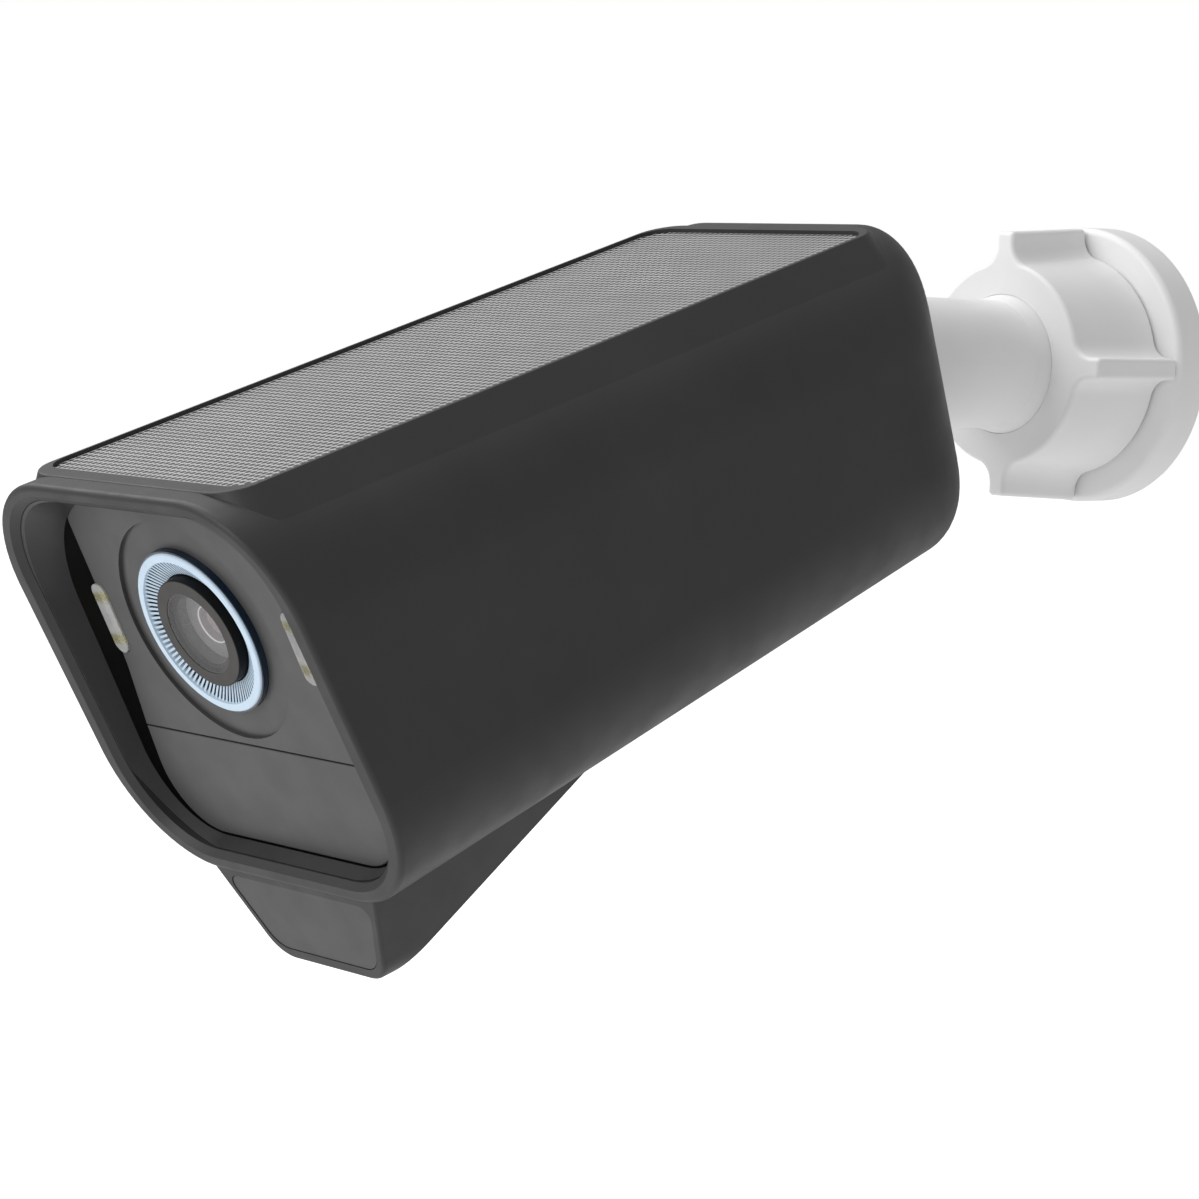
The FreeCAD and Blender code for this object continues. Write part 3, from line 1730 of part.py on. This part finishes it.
def make_boards():
    z = D.main_board_z
    top = z + D.board_thick
    half = D.main_board_half_width
    board = block("main_blank", (-half, half), (D.main_board_front, D.main_board_rear), (z, top))
    holes = []
    screws = []
    for i, (across, along) in enumerate(post_spots()):
        holes.append(post(f"board_hole_{i}", across, along, D.board_screw_radius + 0.2, z - 1, top + 1))
        tip = z - D.board_screw_length
        shank = post(f"board_shank_{i}", across, along, D.board_screw_radius, tip, top + 0.5)
        head = post(f"board_head_{i}", across, along, D.board_screw_head, top, top + D.board_head_height)
        screws.append(fuse(f"board_screw_{i}", shank, head))
    keep("main_board", cut("main_board", board, *holes), CAMERA)
    keep("board_screws", gather("board_screws", screws), CAMERA)
    half = D.shield_half
    span = (D.shield_y - half, D.shield_y + half)
    shield = block("shield_can", (-half, half), span, (top, top + D.shield_height))
    keep("shield_can", shield, CAMERA)
    y = D.antenna_y
    antenna = block(
        "wifi_antenna",
        (-D.antenna_half_length, D.antenna_half_length),
        (y - D.antenna_half_width, y + D.antenna_half_width),
        (top, top + D.antenna_thick),
    )
    keep("wifi_antenna", antenna, CAMERA)
    under = D.tray_top - D.tray_thick
    speaker = post("speaker", 0, D.speaker_y, D.speaker_radius, under - D.speaker_height, under)
    keep("speaker", speaker, CAMERA)
    far = D.block_depth + D.flange_thick
    microphone = rod(
        "microphone",
        D.microphone_x,
        D.microphone_z,
        D.microphone_radius,
        far - D.microphone_length,
        far,
    )
    keep("microphone", microphone, FACE)


def make_ports():
    y = D.port_board_y
    front = y + D.board_thick
    low = D.port_z - D.port_board_half_height
    high = D.port_z + D.port_board_half_height
    wide = D.port_board_half_width
    board = block("port_board", (-wide, wide), (y, front), (low, high))
    keep("port_board", board, CAMERA)
    half = D.usb_half_width
    tall = D.usb_half_height
    shell = block(
        "usb_blank",
        (D.usb_x - half, D.usb_x + half),
        (front, D.port_mouth_y),
        (D.port_z - tall, D.port_z + tall),
    )
    round_edges(shell, tall - 0.05, parallel(Y_AXIS))
    wall = D.usb_shell
    hollow = block(
        "usb_hollow",
        (D.usb_x - half + wall, D.usb_x + half - wall),
        (front + 1, D.port_mouth_y + 1),
        (D.port_z - tall + wall, D.port_z + tall - wall),
    )
    round_edges(hollow, tall - wall - 0.05, parallel(Y_AXIS))
    keep("usb_port", cut("usb_port", shell, hollow), CAMERA)
    half = D.card_half_width
    socket = block(
        "card_blank",
        (D.card_x - half - 0.6, D.card_x + half + 0.6),
        (front, D.port_mouth_y - 1),
        (D.port_z - D.card_thick, D.port_z + D.card_thick),
    )
    room = block(
        "card_room",
        (D.card_x - half - 0.1, D.card_x + half + 0.1),
        (front + 1, D.port_mouth_y),
        (D.port_z - D.card_thick / 2 - 0.1, D.port_z + D.card_thick / 2 + 0.1),
    )
    keep("card_socket", cut("card_socket", socket, room), CAMERA)
    card = block(
        "memory_card",
        (D.card_x - half, D.card_x + half),
        (front + 1, D.port_mouth_y - 0.4),
        (D.port_z - D.card_thick / 2, D.port_z + D.card_thick / 2),
    )
    keep("memory_card", card, CAMERA)


# ---------------------------------------------------------------- build, check and write


def check_model():
    doc.recompute()
    failed = [thing.Name for thing in doc.Objects if {"Invalid", "Error"} & set(thing.State)]
    if failed:
        raise SystemExit(f"not computed: {failed}")
    for label, thing in PIECES.items():
        shape = thing.Shape
        if shape.isNull() or not shape.isValid() or not shape.Solids:
            raise SystemExit(f"{label} has no valid solid")


def write_parts():
    os.makedirs("parts", exist_ok=True)
    for label, thing in PIECES.items():
        thing.Shape.exportStep(f"parts/{label}.step")
        print(f"{label}: {len(thing.Shape.Solids)} solid, {thing.Shape.Volume:.0f} mm3")


make_wall_cover()
make_wall_base()
make_friction_cup()
make_clamp_nut()
make_ball_arm()
make_stud_and_lock_ring()
HOOD_FORM = make_hood()
make_solar_panel()
make_liner()
make_face_plates()
make_bulkhead()
make_lens_ring()
make_lens_window()
make_light_windows()
make_chin(HOOD_FORM)
make_motion_sensor()
make_rear_cover()
make_rear_screws()
make_port_flap()
make_power_button()
make_lens()
make_sensor()
make_filter_shuttle()
make_tray()
make_battery()
make_boards()
make_ports()
check_model()
write_parts()
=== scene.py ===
import math

import bmesh
import bpy
from mathutils import Matrix, Vector


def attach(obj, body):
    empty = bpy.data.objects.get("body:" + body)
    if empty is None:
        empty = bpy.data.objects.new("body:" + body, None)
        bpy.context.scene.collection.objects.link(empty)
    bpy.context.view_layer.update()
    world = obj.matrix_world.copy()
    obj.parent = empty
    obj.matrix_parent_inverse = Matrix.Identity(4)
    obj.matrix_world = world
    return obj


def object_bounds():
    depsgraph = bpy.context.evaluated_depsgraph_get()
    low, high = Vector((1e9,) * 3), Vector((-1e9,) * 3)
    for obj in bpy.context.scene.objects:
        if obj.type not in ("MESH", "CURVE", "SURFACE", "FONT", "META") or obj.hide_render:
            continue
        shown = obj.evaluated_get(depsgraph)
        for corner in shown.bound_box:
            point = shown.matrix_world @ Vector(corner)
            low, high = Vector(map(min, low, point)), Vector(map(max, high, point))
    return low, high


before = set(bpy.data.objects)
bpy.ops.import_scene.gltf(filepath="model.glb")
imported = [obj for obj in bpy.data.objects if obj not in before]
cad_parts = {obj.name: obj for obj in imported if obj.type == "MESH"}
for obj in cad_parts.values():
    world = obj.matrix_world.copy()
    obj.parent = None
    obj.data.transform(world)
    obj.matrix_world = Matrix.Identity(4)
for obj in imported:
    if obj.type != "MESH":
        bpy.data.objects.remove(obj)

MM = 0.001
CAD_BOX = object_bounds()

# The camera body hangs nose-down from its bracket, and the face plate leans back from it.
TILT = math.radians(18.0)
FACE_TILT = TILT + math.radians(9.8)
# The face plate's own frame: at the lens ring's centre, with Y running back into the camera.
RING_CENTRE = (0, -218.0 * MM, -45.4 * MM)
FACE = Matrix.Translation(RING_CENTRE) @ Matrix.Rotation(FACE_TILT, 4, "X")

# How far a painted edge takes to change from one colour to the next.
EDGE_SOFTNESS = 0.1 * MM

# The solar panel's cells: their pitch, how square their corners are, and where the light line
# between two cells begins and is full, as shares of half the pitch.
MESH_PITCH = 1.45 * MM
MESH_SQUARENESS = 3.0
MESH_LINE = (0.72, 0.86)

# The light ring: the band's inner radius, and fins whose fronts fall back from it on the way in.
BAND_RADIUS = 13.7 * MM
FIN_RADIUS = 10.35 * MM
FIN_FRONT = -0.6 * MM
FIN_FALL = 1.5 * MM
# Painted shade in the gaps between the fins starts this far behind the fins' fronts, and stops
# this far inside the band.
PAINTED_SHADE_DEPTH = 0.06 * MM
PAINTED_SHADE_MARGIN = 0.3 * MM

# The bezel's grey front ends and its painted shade, black down the groove, starts at this radius.
BEZEL_FRONT_RADIUS = 9.9 * MM
# The black line round the glass, and how clear the glass is inside it.
GLASS_LINE_RADIUS = 7.3 * MM
GLASS_LINE_SOFTNESS = 0.06 * MM
GLASS_ALPHA = 0.35

# The two lamps behind each window stand this far above and below LAMP_MIDDLE.
LAMP_MIDDLE = -0.25 * MM
LAMP_OFFSET = 4.1 * MM
# The painted glow that each makes on the window is full out to the first distance and gone at the
# second.
LAMP_SPOT = (0.5 * MM, 1.3 * MM)
# The windows' alpha away from the spots and on them.
WINDOW_ALPHA = (0.5, 0.3)

# A glowing ring of wire round the front lens: a painted highlight on the end of the barrel.
RIM_RADIUS = 3.45 * MM
RIM_THICKNESS = 0.13 * MM
RIM_DEPTH = 2.25 * MM

# The paper floor, in metres, and how bright the camera sees it.
FLOOR_HALF = 6.0
FLOOR_DROP = 0.3
FLOOR_PATCH = 0.5
FLOOR_GLOW = 0.8

# Name, place from the object's middle in metres, power in watts and width in metres.
LIGHTS = (
    ("key_above", (-0.75, -0.35, 1.1), 15.0, 1.4),
    ("fill_front", (-0.25, -1.5, 0.45), 7.5, 0.9),
)
AMBIENT = 0.44

# Where the photograph was taken from, in metres and degrees, and its lens in millimetres.
VIEW_PLACE = (0.4963, -0.5580, 0.0142)
VIEW_TURN = 49.35
VIEW_DIP = 5.01
VIEW_ROLL = 1.68
VIEW_LENS = 109.4
VIEW_SENSOR = 36.0
VIEW_NEAR = 0.01

# The Mix node's sockets for colours go by number: factor, two colours in, one colour out.
MIX_INPUTS = (0, 6, 7)
MIX_OUTPUT = 2


# ---------------------------------------------------------------- node helpers


class Surface:
    """A material under construction: its node tree, its shader and the object's coordinates."""

    def __init__(self, name, roughness=0.5, **inputs):
        self.material = bpy.data.materials.new(name)
        self.material.use_nodes = True
        self.tree = self.material.node_tree
        self.shader = self.tree.nodes["Principled BSDF"]
        self.shader.inputs["Roughness"].default_value = roughness
        for socket, value in inputs.items():
            self.shader.inputs[socket.replace("_", " ")].default_value = value
        self.place = self.tree.nodes.new("ShaderNodeTexCoord").outputs["Object"]

    def feed(self, socket, value):
        """Gives a socket another node's output, a number or a colour."""
        if isinstance(value, tuple):
            socket.default_value = (*value, 1.0)
        elif isinstance(value, (int, float)):
            socket.default_value = value
        else:
            self.tree.links.new(value, socket)

    def give(self, socket, output):
        """Links an output to one of the shader's sockets."""
        self.tree.links.new(output, self.shader.inputs[socket])

    def noise(self, size, detail=3.0, stretch=None):
        """Noise with features of a size in metres."""
        node = self.tree.nodes.new("ShaderNodeTexNoise")
        node.inputs["Scale"].default_value = 1.0 / size
        node.inputs["Detail"].default_value = detail
        place = self.place
        if stretch is not None:
            mapping = self.tree.nodes.new("ShaderNodeMapping")
            mapping.inputs["Scale"].default_value = stretch
            self.feed(mapping.inputs["Vector"], place)
            place = mapping.outputs["Vector"]
        self.feed(node.inputs["Vector"], place)
        return node.outputs["Fac"]

    def ramp(self, factor, stops):
        node = self.tree.nodes.new("ShaderNodeValToRGB")
        ramp = node.color_ramp
        while len(ramp.elements) < len(stops):
            ramp.elements.new(0.5)
        for element, (position, colour) in zip(ramp.elements, stops):
            element.position = position
            element.color = (*colour, 1.0)
        self.feed(node.inputs["Fac"], factor)
        return node.outputs["Color"]

    def patches(self, dark, light, size):
        """Soft patches between two colours."""
        return self.ramp(self.noise(size), [(0.3, dark), (0.7, light)])

    def spread(self, factor, low, high, start=0.35, stop=0.65):
        """Low at the start and high at the stop: noise mostly lies between the two defaults."""
        node = self.tree.nodes.new("ShaderNodeMapRange")
        node.inputs["From Min"].default_value = start
        node.inputs["From Max"].default_value = stop
        node.inputs["To Min"].default_value = low
        node.inputs["To Max"].default_value = high
        self.feed(node.inputs["Value"], factor)
        return node.outputs["Result"]

    def beyond(self, distance, edge, softness=EDGE_SOFTNESS):
        """0 up to an edge and 1 past it."""
        return self.spread(distance, 0.0, 1.0, edge, edge + softness)

    def math(self, operation, *values):
        node = self.tree.nodes.new("ShaderNodeMath")
        node.operation = operation
        for socket, value in zip(node.inputs, values):
            self.feed(socket, value)
        return node.outputs["Value"]

    def axes(self, angle):
        """The X, Y and Z of a frame at the ring's centre, turned by an angle about X."""
        turned = self.tree.nodes.new("ShaderNodeMapping")
        turned.vector_type = "TEXTURE"
        turned.inputs["Location"].default_value = RING_CENTRE
        turned.inputs["Rotation"].default_value = (angle, 0, 0)
        self.feed(turned.inputs["Vector"], self.place)
        split = self.tree.nodes.new("ShaderNodeSeparateXYZ")
        self.feed(split.inputs["Vector"], turned.outputs["Vector"])
        return split.outputs["X"], split.outputs["Y"], split.outputs["Z"]

    def radius(self, x, z):
        squares = [self.math("MULTIPLY", axis, axis) for axis in (x, z)]
        return self.math("SQRT", self.math("ADD", *squares))

    def blend(self, factor, first, second):
        """The first colour where the factor is 0 and the second where it is 1."""
        node = self.tree.nodes.new("ShaderNodeMix")
        node.data_type = "RGBA"
        for number, value in zip(MIX_INPUTS, (factor, first, second)):
            self.feed(node.inputs[number], value)
        return node.outputs[MIX_OUTPUT]

    def mottle(self, dark, light, size):
        self.give("Base Color", self.patches(dark, light, size))

    def vary_roughness(self, low, high, size):
        self.give("Roughness", self.spread(self.noise(size), low, high))

    def relief(self, heights, depth):
        """Bumps from one or more height outputs, each of the same depth in metres."""
        normal = None
        for height in heights:
            bump = self.tree.nodes.new("ShaderNodeBump")
            bump.inputs["Strength"].default_value = 1.0
            bump.inputs["Distance"].default_value = depth
            self.feed(bump.inputs["Height"], height)
            if normal is not None:
                self.feed(bump.inputs["Normal"], normal)
            normal = bump.outputs["Normal"]
        self.give("Normal", normal)

    def grain(self):
        """The fine grain of a small moulding."""
        self.relief([self.noise(0.25 * MM, 2.0)], 0.004 * MM)

    def polish(self, low, high):
        """A polished skin: nearly even roughness and the faintest waves."""
        self.vary_roughness(low, high, 3 * MM)
        self.relief([self.noise(3 * MM, 1.0)], 0.003 * MM)


def grey(value, warm=0.0):
    return (value * (1 + warm), value, value * (1 - warm))


def glow(colour, strength):
    """The shader inputs that make a surface give off light."""
    return {"Emission_Color": (*colour, 1.0), "Emission_Strength": strength}


def paint(material, *nodes):
    for name in nodes:
        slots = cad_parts[name].data.materials
        for i in range(len(slots)):
            slots[i] = material


# ---------------------------------------------------------------- materials


def moulded(name, dark, light, roughness, grain=0.35, depth=0.006, **inputs):
    """Moulded plastic with faint patches and a fine grain: its size and depth are in mm."""
    surface = Surface(name, **inputs)
    surface.mottle(dark, light, 18 * MM)
    surface.vary_roughness(roughness - 0.03, roughness + 0.05, 7 * MM)
    surface.relief([surface.noise(grain * MM, 2.0), surface.noise(2.2 * MM, 1.0)], depth * MM)
    return surface.material


def metal(name, dark, light, roughness, stretch=(1, 1, 1)):
    """Bare metal: stretch draws its fine lines out along an axis."""
    surface = Surface(name, Metallic=1.0)
    surface.mottle(dark, light, 4 * MM)
    lines = surface.noise(0.5 * MM, 2.0, stretch)
    surface.give("Roughness", surface.spread(lines, roughness - 0.06, roughness + 0.1))
    surface.relief([lines], 0.002 * MM)
    return surface.material


def solar_cells():
    """Dark cells under a square mesh of light lines, seen through a clear skin."""
    surface = Surface("solar_cells", Coat_Weight=0.25, Coat_Roughness=0.3)
    across, along, _ = surface.axes(TILT)
    sides = []
    for axis in (across, along):
        part = surface.math("FRACT", surface.math("DIVIDE", axis, MESH_PITCH))
        off_centre = surface.math("ABSOLUTE", surface.math("SUBTRACT", part, 0.5))
        share = surface.math("MULTIPLY", off_centre, 2.0)
        sides.append(surface.math("POWER", share, MESH_SQUARENESS))
    from_middle = surface.math("POWER", surface.math("ADD", *sides), 1 / MESH_SQUARENESS)
    line = surface.spread(from_middle, 0.0, 1.0, *MESH_LINE)
    uneven = surface.spread(surface.noise(9 * MM), 0.88, 1.0)
    mesh = surface.math("MULTIPLY", line, uneven)
    stops = [(0.0, (0.004, 0.004, 0.005)), (1.0, (0.5, 0.5, 0.5))]
    surface.give("Base Color", surface.ramp(mesh, stops))
    surface.give("Roughness", surface.spread(line, 0.35, 0.5, 0.0, 1.0))
    surface.relief([line], 0.02 * MM)
    return surface.material


def lit_ring():
    """Frosted light guide: pale blue on its band and fins' fronts, painted shade in the gaps
    between them.
    """
    surface = Surface("ring_light", Emission_Strength=0.22)
    pale = surface.patches((0.5, 0.62, 0.73), (0.56, 0.69, 0.82), 5 * MM)
    x, depth, z = surface.axes(FACE_TILT)
    radius = surface.radius(x, z)
    # A point's depth, levelled so that it is the same all along a fin's sloping front.
    slope = FIN_FALL / (BAND_RADIUS - FIN_RADIUS)
    levelled = surface.math("ADD", surface.math("MULTIPLY", radius, slope), depth)
    front = slope * BAND_RADIUS + FIN_FRONT
    # Painted shade: the gaps behind the fins' fronts, inside the band, are painted near black.
    sunk = surface.beyond(levelled, front + PAINTED_SHADE_DEPTH)
    stop = BAND_RADIUS - PAINTED_SHADE_MARGIN
    inside = surface.spread(radius, 1.0, 0.0, stop, stop + EDGE_SOFTNESS)
    painted_gap_shade = surface.math("MULTIPLY", sunk, inside)
    shade = surface.blend(painted_gap_shade, pale, (0.004, 0.005, 0.008))
    surface.give("Base Color", shade)
    surface.give("Emission Color", shade)
    surface.vary_roughness(0.3, 0.42, 2 * MM)
    surface.grain()
    return surface.material


def ring_bezel():
    """Warm grey on the front, with painted shade, black, down the groove that the fins stand
    round.
    """
    surface = Surface("bezel_shell", Specular_IOR_Level=0.15)
    x, _, z = surface.axes(FACE_TILT)
    # Painted shade: black past BEZEL_FRONT_RADIUS, down the groove's wall.
    groove = surface.beyond(surface.radius(x, z), BEZEL_FRONT_RADIUS)
    front = surface.patches(grey(0.062, 0.03), grey(0.072, 0.03), 8 * MM)
    surface.give("Base Color", surface.blend(groove, front, grey(0.003)))
    surface.vary_roughness(0.4, 0.48, 3 * MM)
    surface.grain()
    return surface.material


def lens_window():
    """Clear grey glass with a black line printed round its edge."""
    surface = Surface("lens_window", Coat_Weight=0.25, Coat_Roughness=0.1)
    x, _, z = surface.axes(FACE_TILT)
    line = surface.beyond(surface.radius(x, z), GLASS_LINE_RADIUS, GLASS_LINE_SOFTNESS)
    tint = surface.patches(grey(0.18), grey(0.2), 6 * MM)
    surface.give("Base Color", surface.blend(line, tint, grey(0.004)))
    surface.give("Alpha", surface.spread(line, GLASS_ALPHA, 1.0, 0.0, 1.0))
    surface.polish(0.12, 0.18)
    return surface.material


def clear(name, dark, light, alpha, roughness, **inputs):
    """Glass with the faintest streaks."""
    surface = Surface(name, Alpha=alpha, **inputs)
    surface.mottle(dark, light, 6 * MM)
    surface.polish(roughness, roughness + 0.04)
    return surface.material


def lamp_window():
    """Milky clear plastic, with a painted warm glow where the two lamps stand close behind it."""
    surface = Surface("window_plastic")
    _, _, z = surface.axes(FACE_TILT)
    height = surface.math("ABSOLUTE", surface.math("SUBTRACT", z, LAMP_MIDDLE))
    away = surface.math("ABSOLUTE", surface.math("SUBTRACT", height, LAMP_OFFSET))
    # Painted glow: warmer and clearer near each lamp.
    near = surface.spread(away, 1.0, 0.0, *LAMP_SPOT)
    milky = surface.patches(grey(0.55), grey(0.72), 2 * MM)
    surface.give("Base Color", surface.blend(near, milky, (0.72, 0.68, 0.42)))
    surface.give("Alpha", surface.spread(near, *WINDOW_ALPHA, 0.0, 1.0))
    surface.polish(0.18, 0.24)
    return surface.material


def lamp(name, dark, light, strength):
    """A lamp whose face glows in its own colours."""
    surface = Surface(name, Emission_Strength=strength)
    face = surface.ramp(surface.noise(0.6 * MM, 2.0), [(0.35, dark), (0.65, light)])
    surface.give("Base Color", face)
    surface.give("Emission Color", face)
    surface.vary_roughness(0.3, 0.45, 1 * MM)
    return surface.material


def circuit_board():
    """Green solder mask with lighter copper runs beneath it."""
    surface = Surface("circuit_board", Coat_Weight=0.3, Coat_Roughness=0.2)
    runs = surface.noise(1.4 * MM, 0.0, (1, 0.15, 1))
    mask = (0.008, 0.06, 0.03)
    copper = (0.02, 0.12, 0.06)
    surface.give("Base Color", surface.ramp(runs, [(0.45, mask), (0.5, copper), (0.55, mask)]))
    surface.vary_roughness(0.3, 0.45, 3 * MM)
    surface.relief([runs], 0.01 * MM)
    return surface.material


def paint_bracket():
    skin = {"Coat_Weight": 0.1, "Coat_Roughness": 0.3}
    white = moulded("white_shell", grey(0.9), grey(0.94), 0.4, 0.5, 0.004, **skin)
    paint(white, "wall_base", "wall_cover", "clamp_nut", "ball_arm", "lock_ring")


def paint_shells():
    """The camera's outer mouldings and its panel."""
    hood = moulded("hood_shell", grey(0.026), grey(0.031), 0.48, 0.3, 0.008)
    paint(hood, "outer_hood", "chin_housing", "rear_cover", "port_flap", "power_button")
    # Painted light: the liner is a touch lighter than the hood, to lift the shade inside the
    # mouth.
    liner = moulded("liner_shell", grey(0.03), grey(0.034), 0.42, 0.3, 0.006)
    paint(liner, "hood_liner")
    face = moulded("face_shell", grey(0.062), grey(0.07), 0.4, 0.25, 0.004)
    paint(face, "upper_face_plate", "lower_face_plate")
    sensor = moulded("sensor_window", grey(0.055), grey(0.06), 0.45, 0.3, 0.005)
    paint(sensor, "pir_window")
    paint(solar_cells(), "solar_panel")


def paint_lens_and_lamps():
    """The ring, the lens and the lamps. The lens barrel and lenses have a painted glow, though
    they are no lamps, to show through the glass.
    """
    paint(lit_ring(), "light_ring")
    dark_blue, blue = (0.002, 0.012, 0.03), (0.004, 0.02, 0.045)
    paint(moulded("ring_tube", dark_blue, blue, 0.2, 0.4, 0.002, Coat_Weight=0.5), "ring_sleeve")
    paint(ring_bezel(), "lens_bezel")
    paint(lens_window(), "lens_glass")
    # Painted glow: the barrel glows, though it is no lamp.
    painted_barrel_glow = glow((0.55, 0.55, 0.55), 0.16)
    barrel = moulded("barrel_shell", grey(0.4), grey(0.46), 0.5, 0.3, 0.004, **painted_barrel_glow)
    paint(barrel, "lens_barrel")
    # The lenses' coat, and a painted pink glow, though they are no lamps.
    coating_and_painted_glow = {"Coat_Weight": 0.6, **glow((0.8, 0.62, 0.66), 0.22)}
    coated = clear("coated_glass", (0.6, 0.42, 0.46), (0.8, 0.66, 0.68), 1.0, 0.12, **coating_and_painted_glow)
    paint(coated, "front_lens", "rear_lens")
    filters = clear("filter_glass", (0.3, 0.4, 0.5), (0.35, 0.45, 0.55), 0.5, 0.05)
    paint(filters, "ir_cut_filter", "clear_filter")
    paint(lamp_window(), "led_window_left", "led_window_right")
    paint(lamp("led_body", (0.6, 0.5, 0.2), (0.9, 0.85, 0.55), 0.7), "spot_leds")
    infrared = lamp("infrared_body", (0.16, 0.15, 0.16), (0.24, 0.22, 0.22), 0.1)
    paint(infrared, "infrared_leds")


def paint_inside():
    """Boards, inner mouldings, pads and metal parts."""
    board = circuit_board()
    paint(board, "ring_light_board", "led_board_left", "led_board_right", "pir_board")
    paint(board, "sensor_board", "main_board", "port_board")
    inner = moulded("inner_plastic", grey(0.012), grey(0.018), 0.5, 0.4, 0.008)
    paint(inner, "front_bulkhead", "inner_tray", "battery_holder", "lens_holder", "filter_frame")
    paint(inner, "card_socket", "memory_card", "speaker", "button_switch")
    pad = moulded("soft_pad", grey(0.02), grey(0.03), 0.85, 0.8, 0.03)
    paint(pad, "panel_adhesive", "rear_gasket", "friction_cup")
    turned = (1, 6, 1)
    steel = metal("turned_steel", grey(0.5), grey(0.62), 0.3, turned)
    paint(steel, "mount_stud", "rear_screws", "board_screws", "flap_pin")
    brass = metal("turned_brass", (0.55, 0.4, 0.16), (0.68, 0.5, 0.22), 0.3, turned)
    paint(brass, "threaded_insert")
    tin = metal("pressed_metal", grey(0.55), grey(0.66), 0.35)
    paint(tin, "pir_sensor", "shield_can", "microphone", "battery_cells", "usb_port")
    paint(tin, "wifi_antenna", "image_sensor")


# ---------------------------------------------------------------- the lens rim, a painted highlight


def add_object(name, data):
    added = bpy.data.objects.new(name, data)
    bpy.context.collection.objects.link(added)
    return added


def finish_mesh(name, build):
    mesh = bpy.data.meshes.new(name)
    build.to_mesh(mesh)
    build.free()
    return mesh


def torus(name, radius, thickness, steps=96, sides=12):
    """A ring of round wire about the Y axis."""
    build = bmesh.new()
    loops = []
    for i in range(steps):
        turn = 2 * math.pi * i / steps
        loop = []
        for j in range(sides):
            lean = 2 * math.pi * j / sides
            reach = radius + thickness * math.cos(lean)
            spot = (reach * math.cos(turn), thickness * math.sin(lean), reach * math.sin(turn))
            loop.append(build.verts.new(spot))
        loops.append(loop)
    for i in range(steps):
        near, far = loops[i], loops[(i + 1) % steps]
        for j in range(sides):
            k = (j + 1) % sides
            build.faces.new((near[j], far[j], far[k], near[k]))
    bmesh.ops.recalc_face_normals(build, faces=build.faces)
    mesh = finish_mesh(name, build)
    mesh.shade_smooth()
    return add_object(name, mesh)


def add_painted_highlight_rim():
    """A glowing ring round the front lens, on the end of the barrel: a painted highlight on its
    edge.
    """
    rim = torus("lens_rim", RIM_RADIUS, RIM_THICKNESS)
    rim.matrix_world = FACE @ Matrix.Translation((0, RIM_DEPTH, 0))
    # Painted highlight: near white and glowing, though it is no lamp.
    painted_highlight_glow = glow((1.0, 0.96, 0.9), 0.7)
    rim.data.materials.append(moulded("lens_rim_painted_highlight", grey(0.7), grey(0.8), 0.3, **painted_highlight_glow))
    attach(rim, "camera")


# ---------------------------------------------------------------- stage, lights and camera


def add_stage():
    """A floor of pale paper well below the object."""
    depth = CAD_BOX[0].z - FLOOR_DROP
    build = bmesh.new()
    corners = ((-1, -1), (1, -1), (1, 1), (-1, 1))
    build.faces.new([build.verts.new((x * FLOOR_HALF, y * FLOOR_HALF, depth)) for x, y in corners])
    floor = add_object("floor", finish_mesh("floor", build))
    surface = Surface("floor_paper", 0.9)
    surface.mottle(grey(0.9), grey(0.94), FLOOR_PATCH)
    surface.shader.inputs["Emission Color"].default_value = (1, 1, 1, 1)
    # Bright to the camera alone, so that the paper runs into the background.
    rays = surface.tree.nodes.new("ShaderNodeLightPath").outputs["Is Camera Ray"]
    surface.give("Emission Strength", surface.math("MULTIPLY", rays, FLOOR_GLOW))
    floor.data.materials.append(surface.material)


def add_lights():
    centre = (Vector(CAD_BOX[0]) + Vector(CAD_BOX[1])) / 2
    for name, place, power, size in LIGHTS:
        data = bpy.data.lights.new(name, "AREA")
        data.energy = power
        data.size = size
        light = add_object(name, data)
        light.location = centre + Vector(place)
        light.rotation_euler = (-Vector(place)).to_track_quat("-Z", "Y").to_euler()


def add_world():
    """White all round: soft as a light, and full white to the camera."""
    world = bpy.data.worlds.new("studio")
    bpy.context.scene.world = world
    world.use_nodes = True
    tree = world.node_tree
    soft = tree.nodes["Background"]
    soft.inputs["Strength"].default_value = AMBIENT
    seen = tree.nodes.new("ShaderNodeBackground")
    for background in (soft, seen):
        background.inputs["Color"].default_value = (1, 1, 1, 1)
    rays = tree.nodes.new("ShaderNodeLightPath")
    mix = tree.nodes.new("ShaderNodeMixShader")
    tree.links.new(rays.outputs["Is Camera Ray"], mix.inputs["Fac"])
    tree.links.new(soft.outputs["Background"], mix.inputs[1])
    tree.links.new(seen.outputs["Background"], mix.inputs[2])
    tree.links.new(mix.outputs["Shader"], tree.nodes["World Output"].inputs["Surface"])


def add_camera():
    """The camera stands where the photograph was taken from."""
    data = bpy.data.cameras.new("view")
    data.sensor_width = VIEW_SENSOR
    data.lens = VIEW_LENS
    data.clip_start = VIEW_NEAR
    camera = add_object("view", data)
    turn = Matrix.Rotation(math.radians(VIEW_TURN), 4, "Z")
    lift = Matrix.Rotation(math.radians(90 - VIEW_DIP), 4, "X")
    roll = Matrix.Rotation(math.radians(VIEW_ROLL), 4, "Z")
    camera.matrix_world = Matrix.Translation(VIEW_PLACE) @ turn @ lift @ roll
    bpy.context.scene.camera = camera


bpy.context.scene.view_settings.view_transform = "Standard"
paint_bracket()
paint_shells()
paint_lens_and_lamps()
paint_inside()
add_painted_highlight_rim()
add_stage()
add_lights()
add_world()
add_camera()
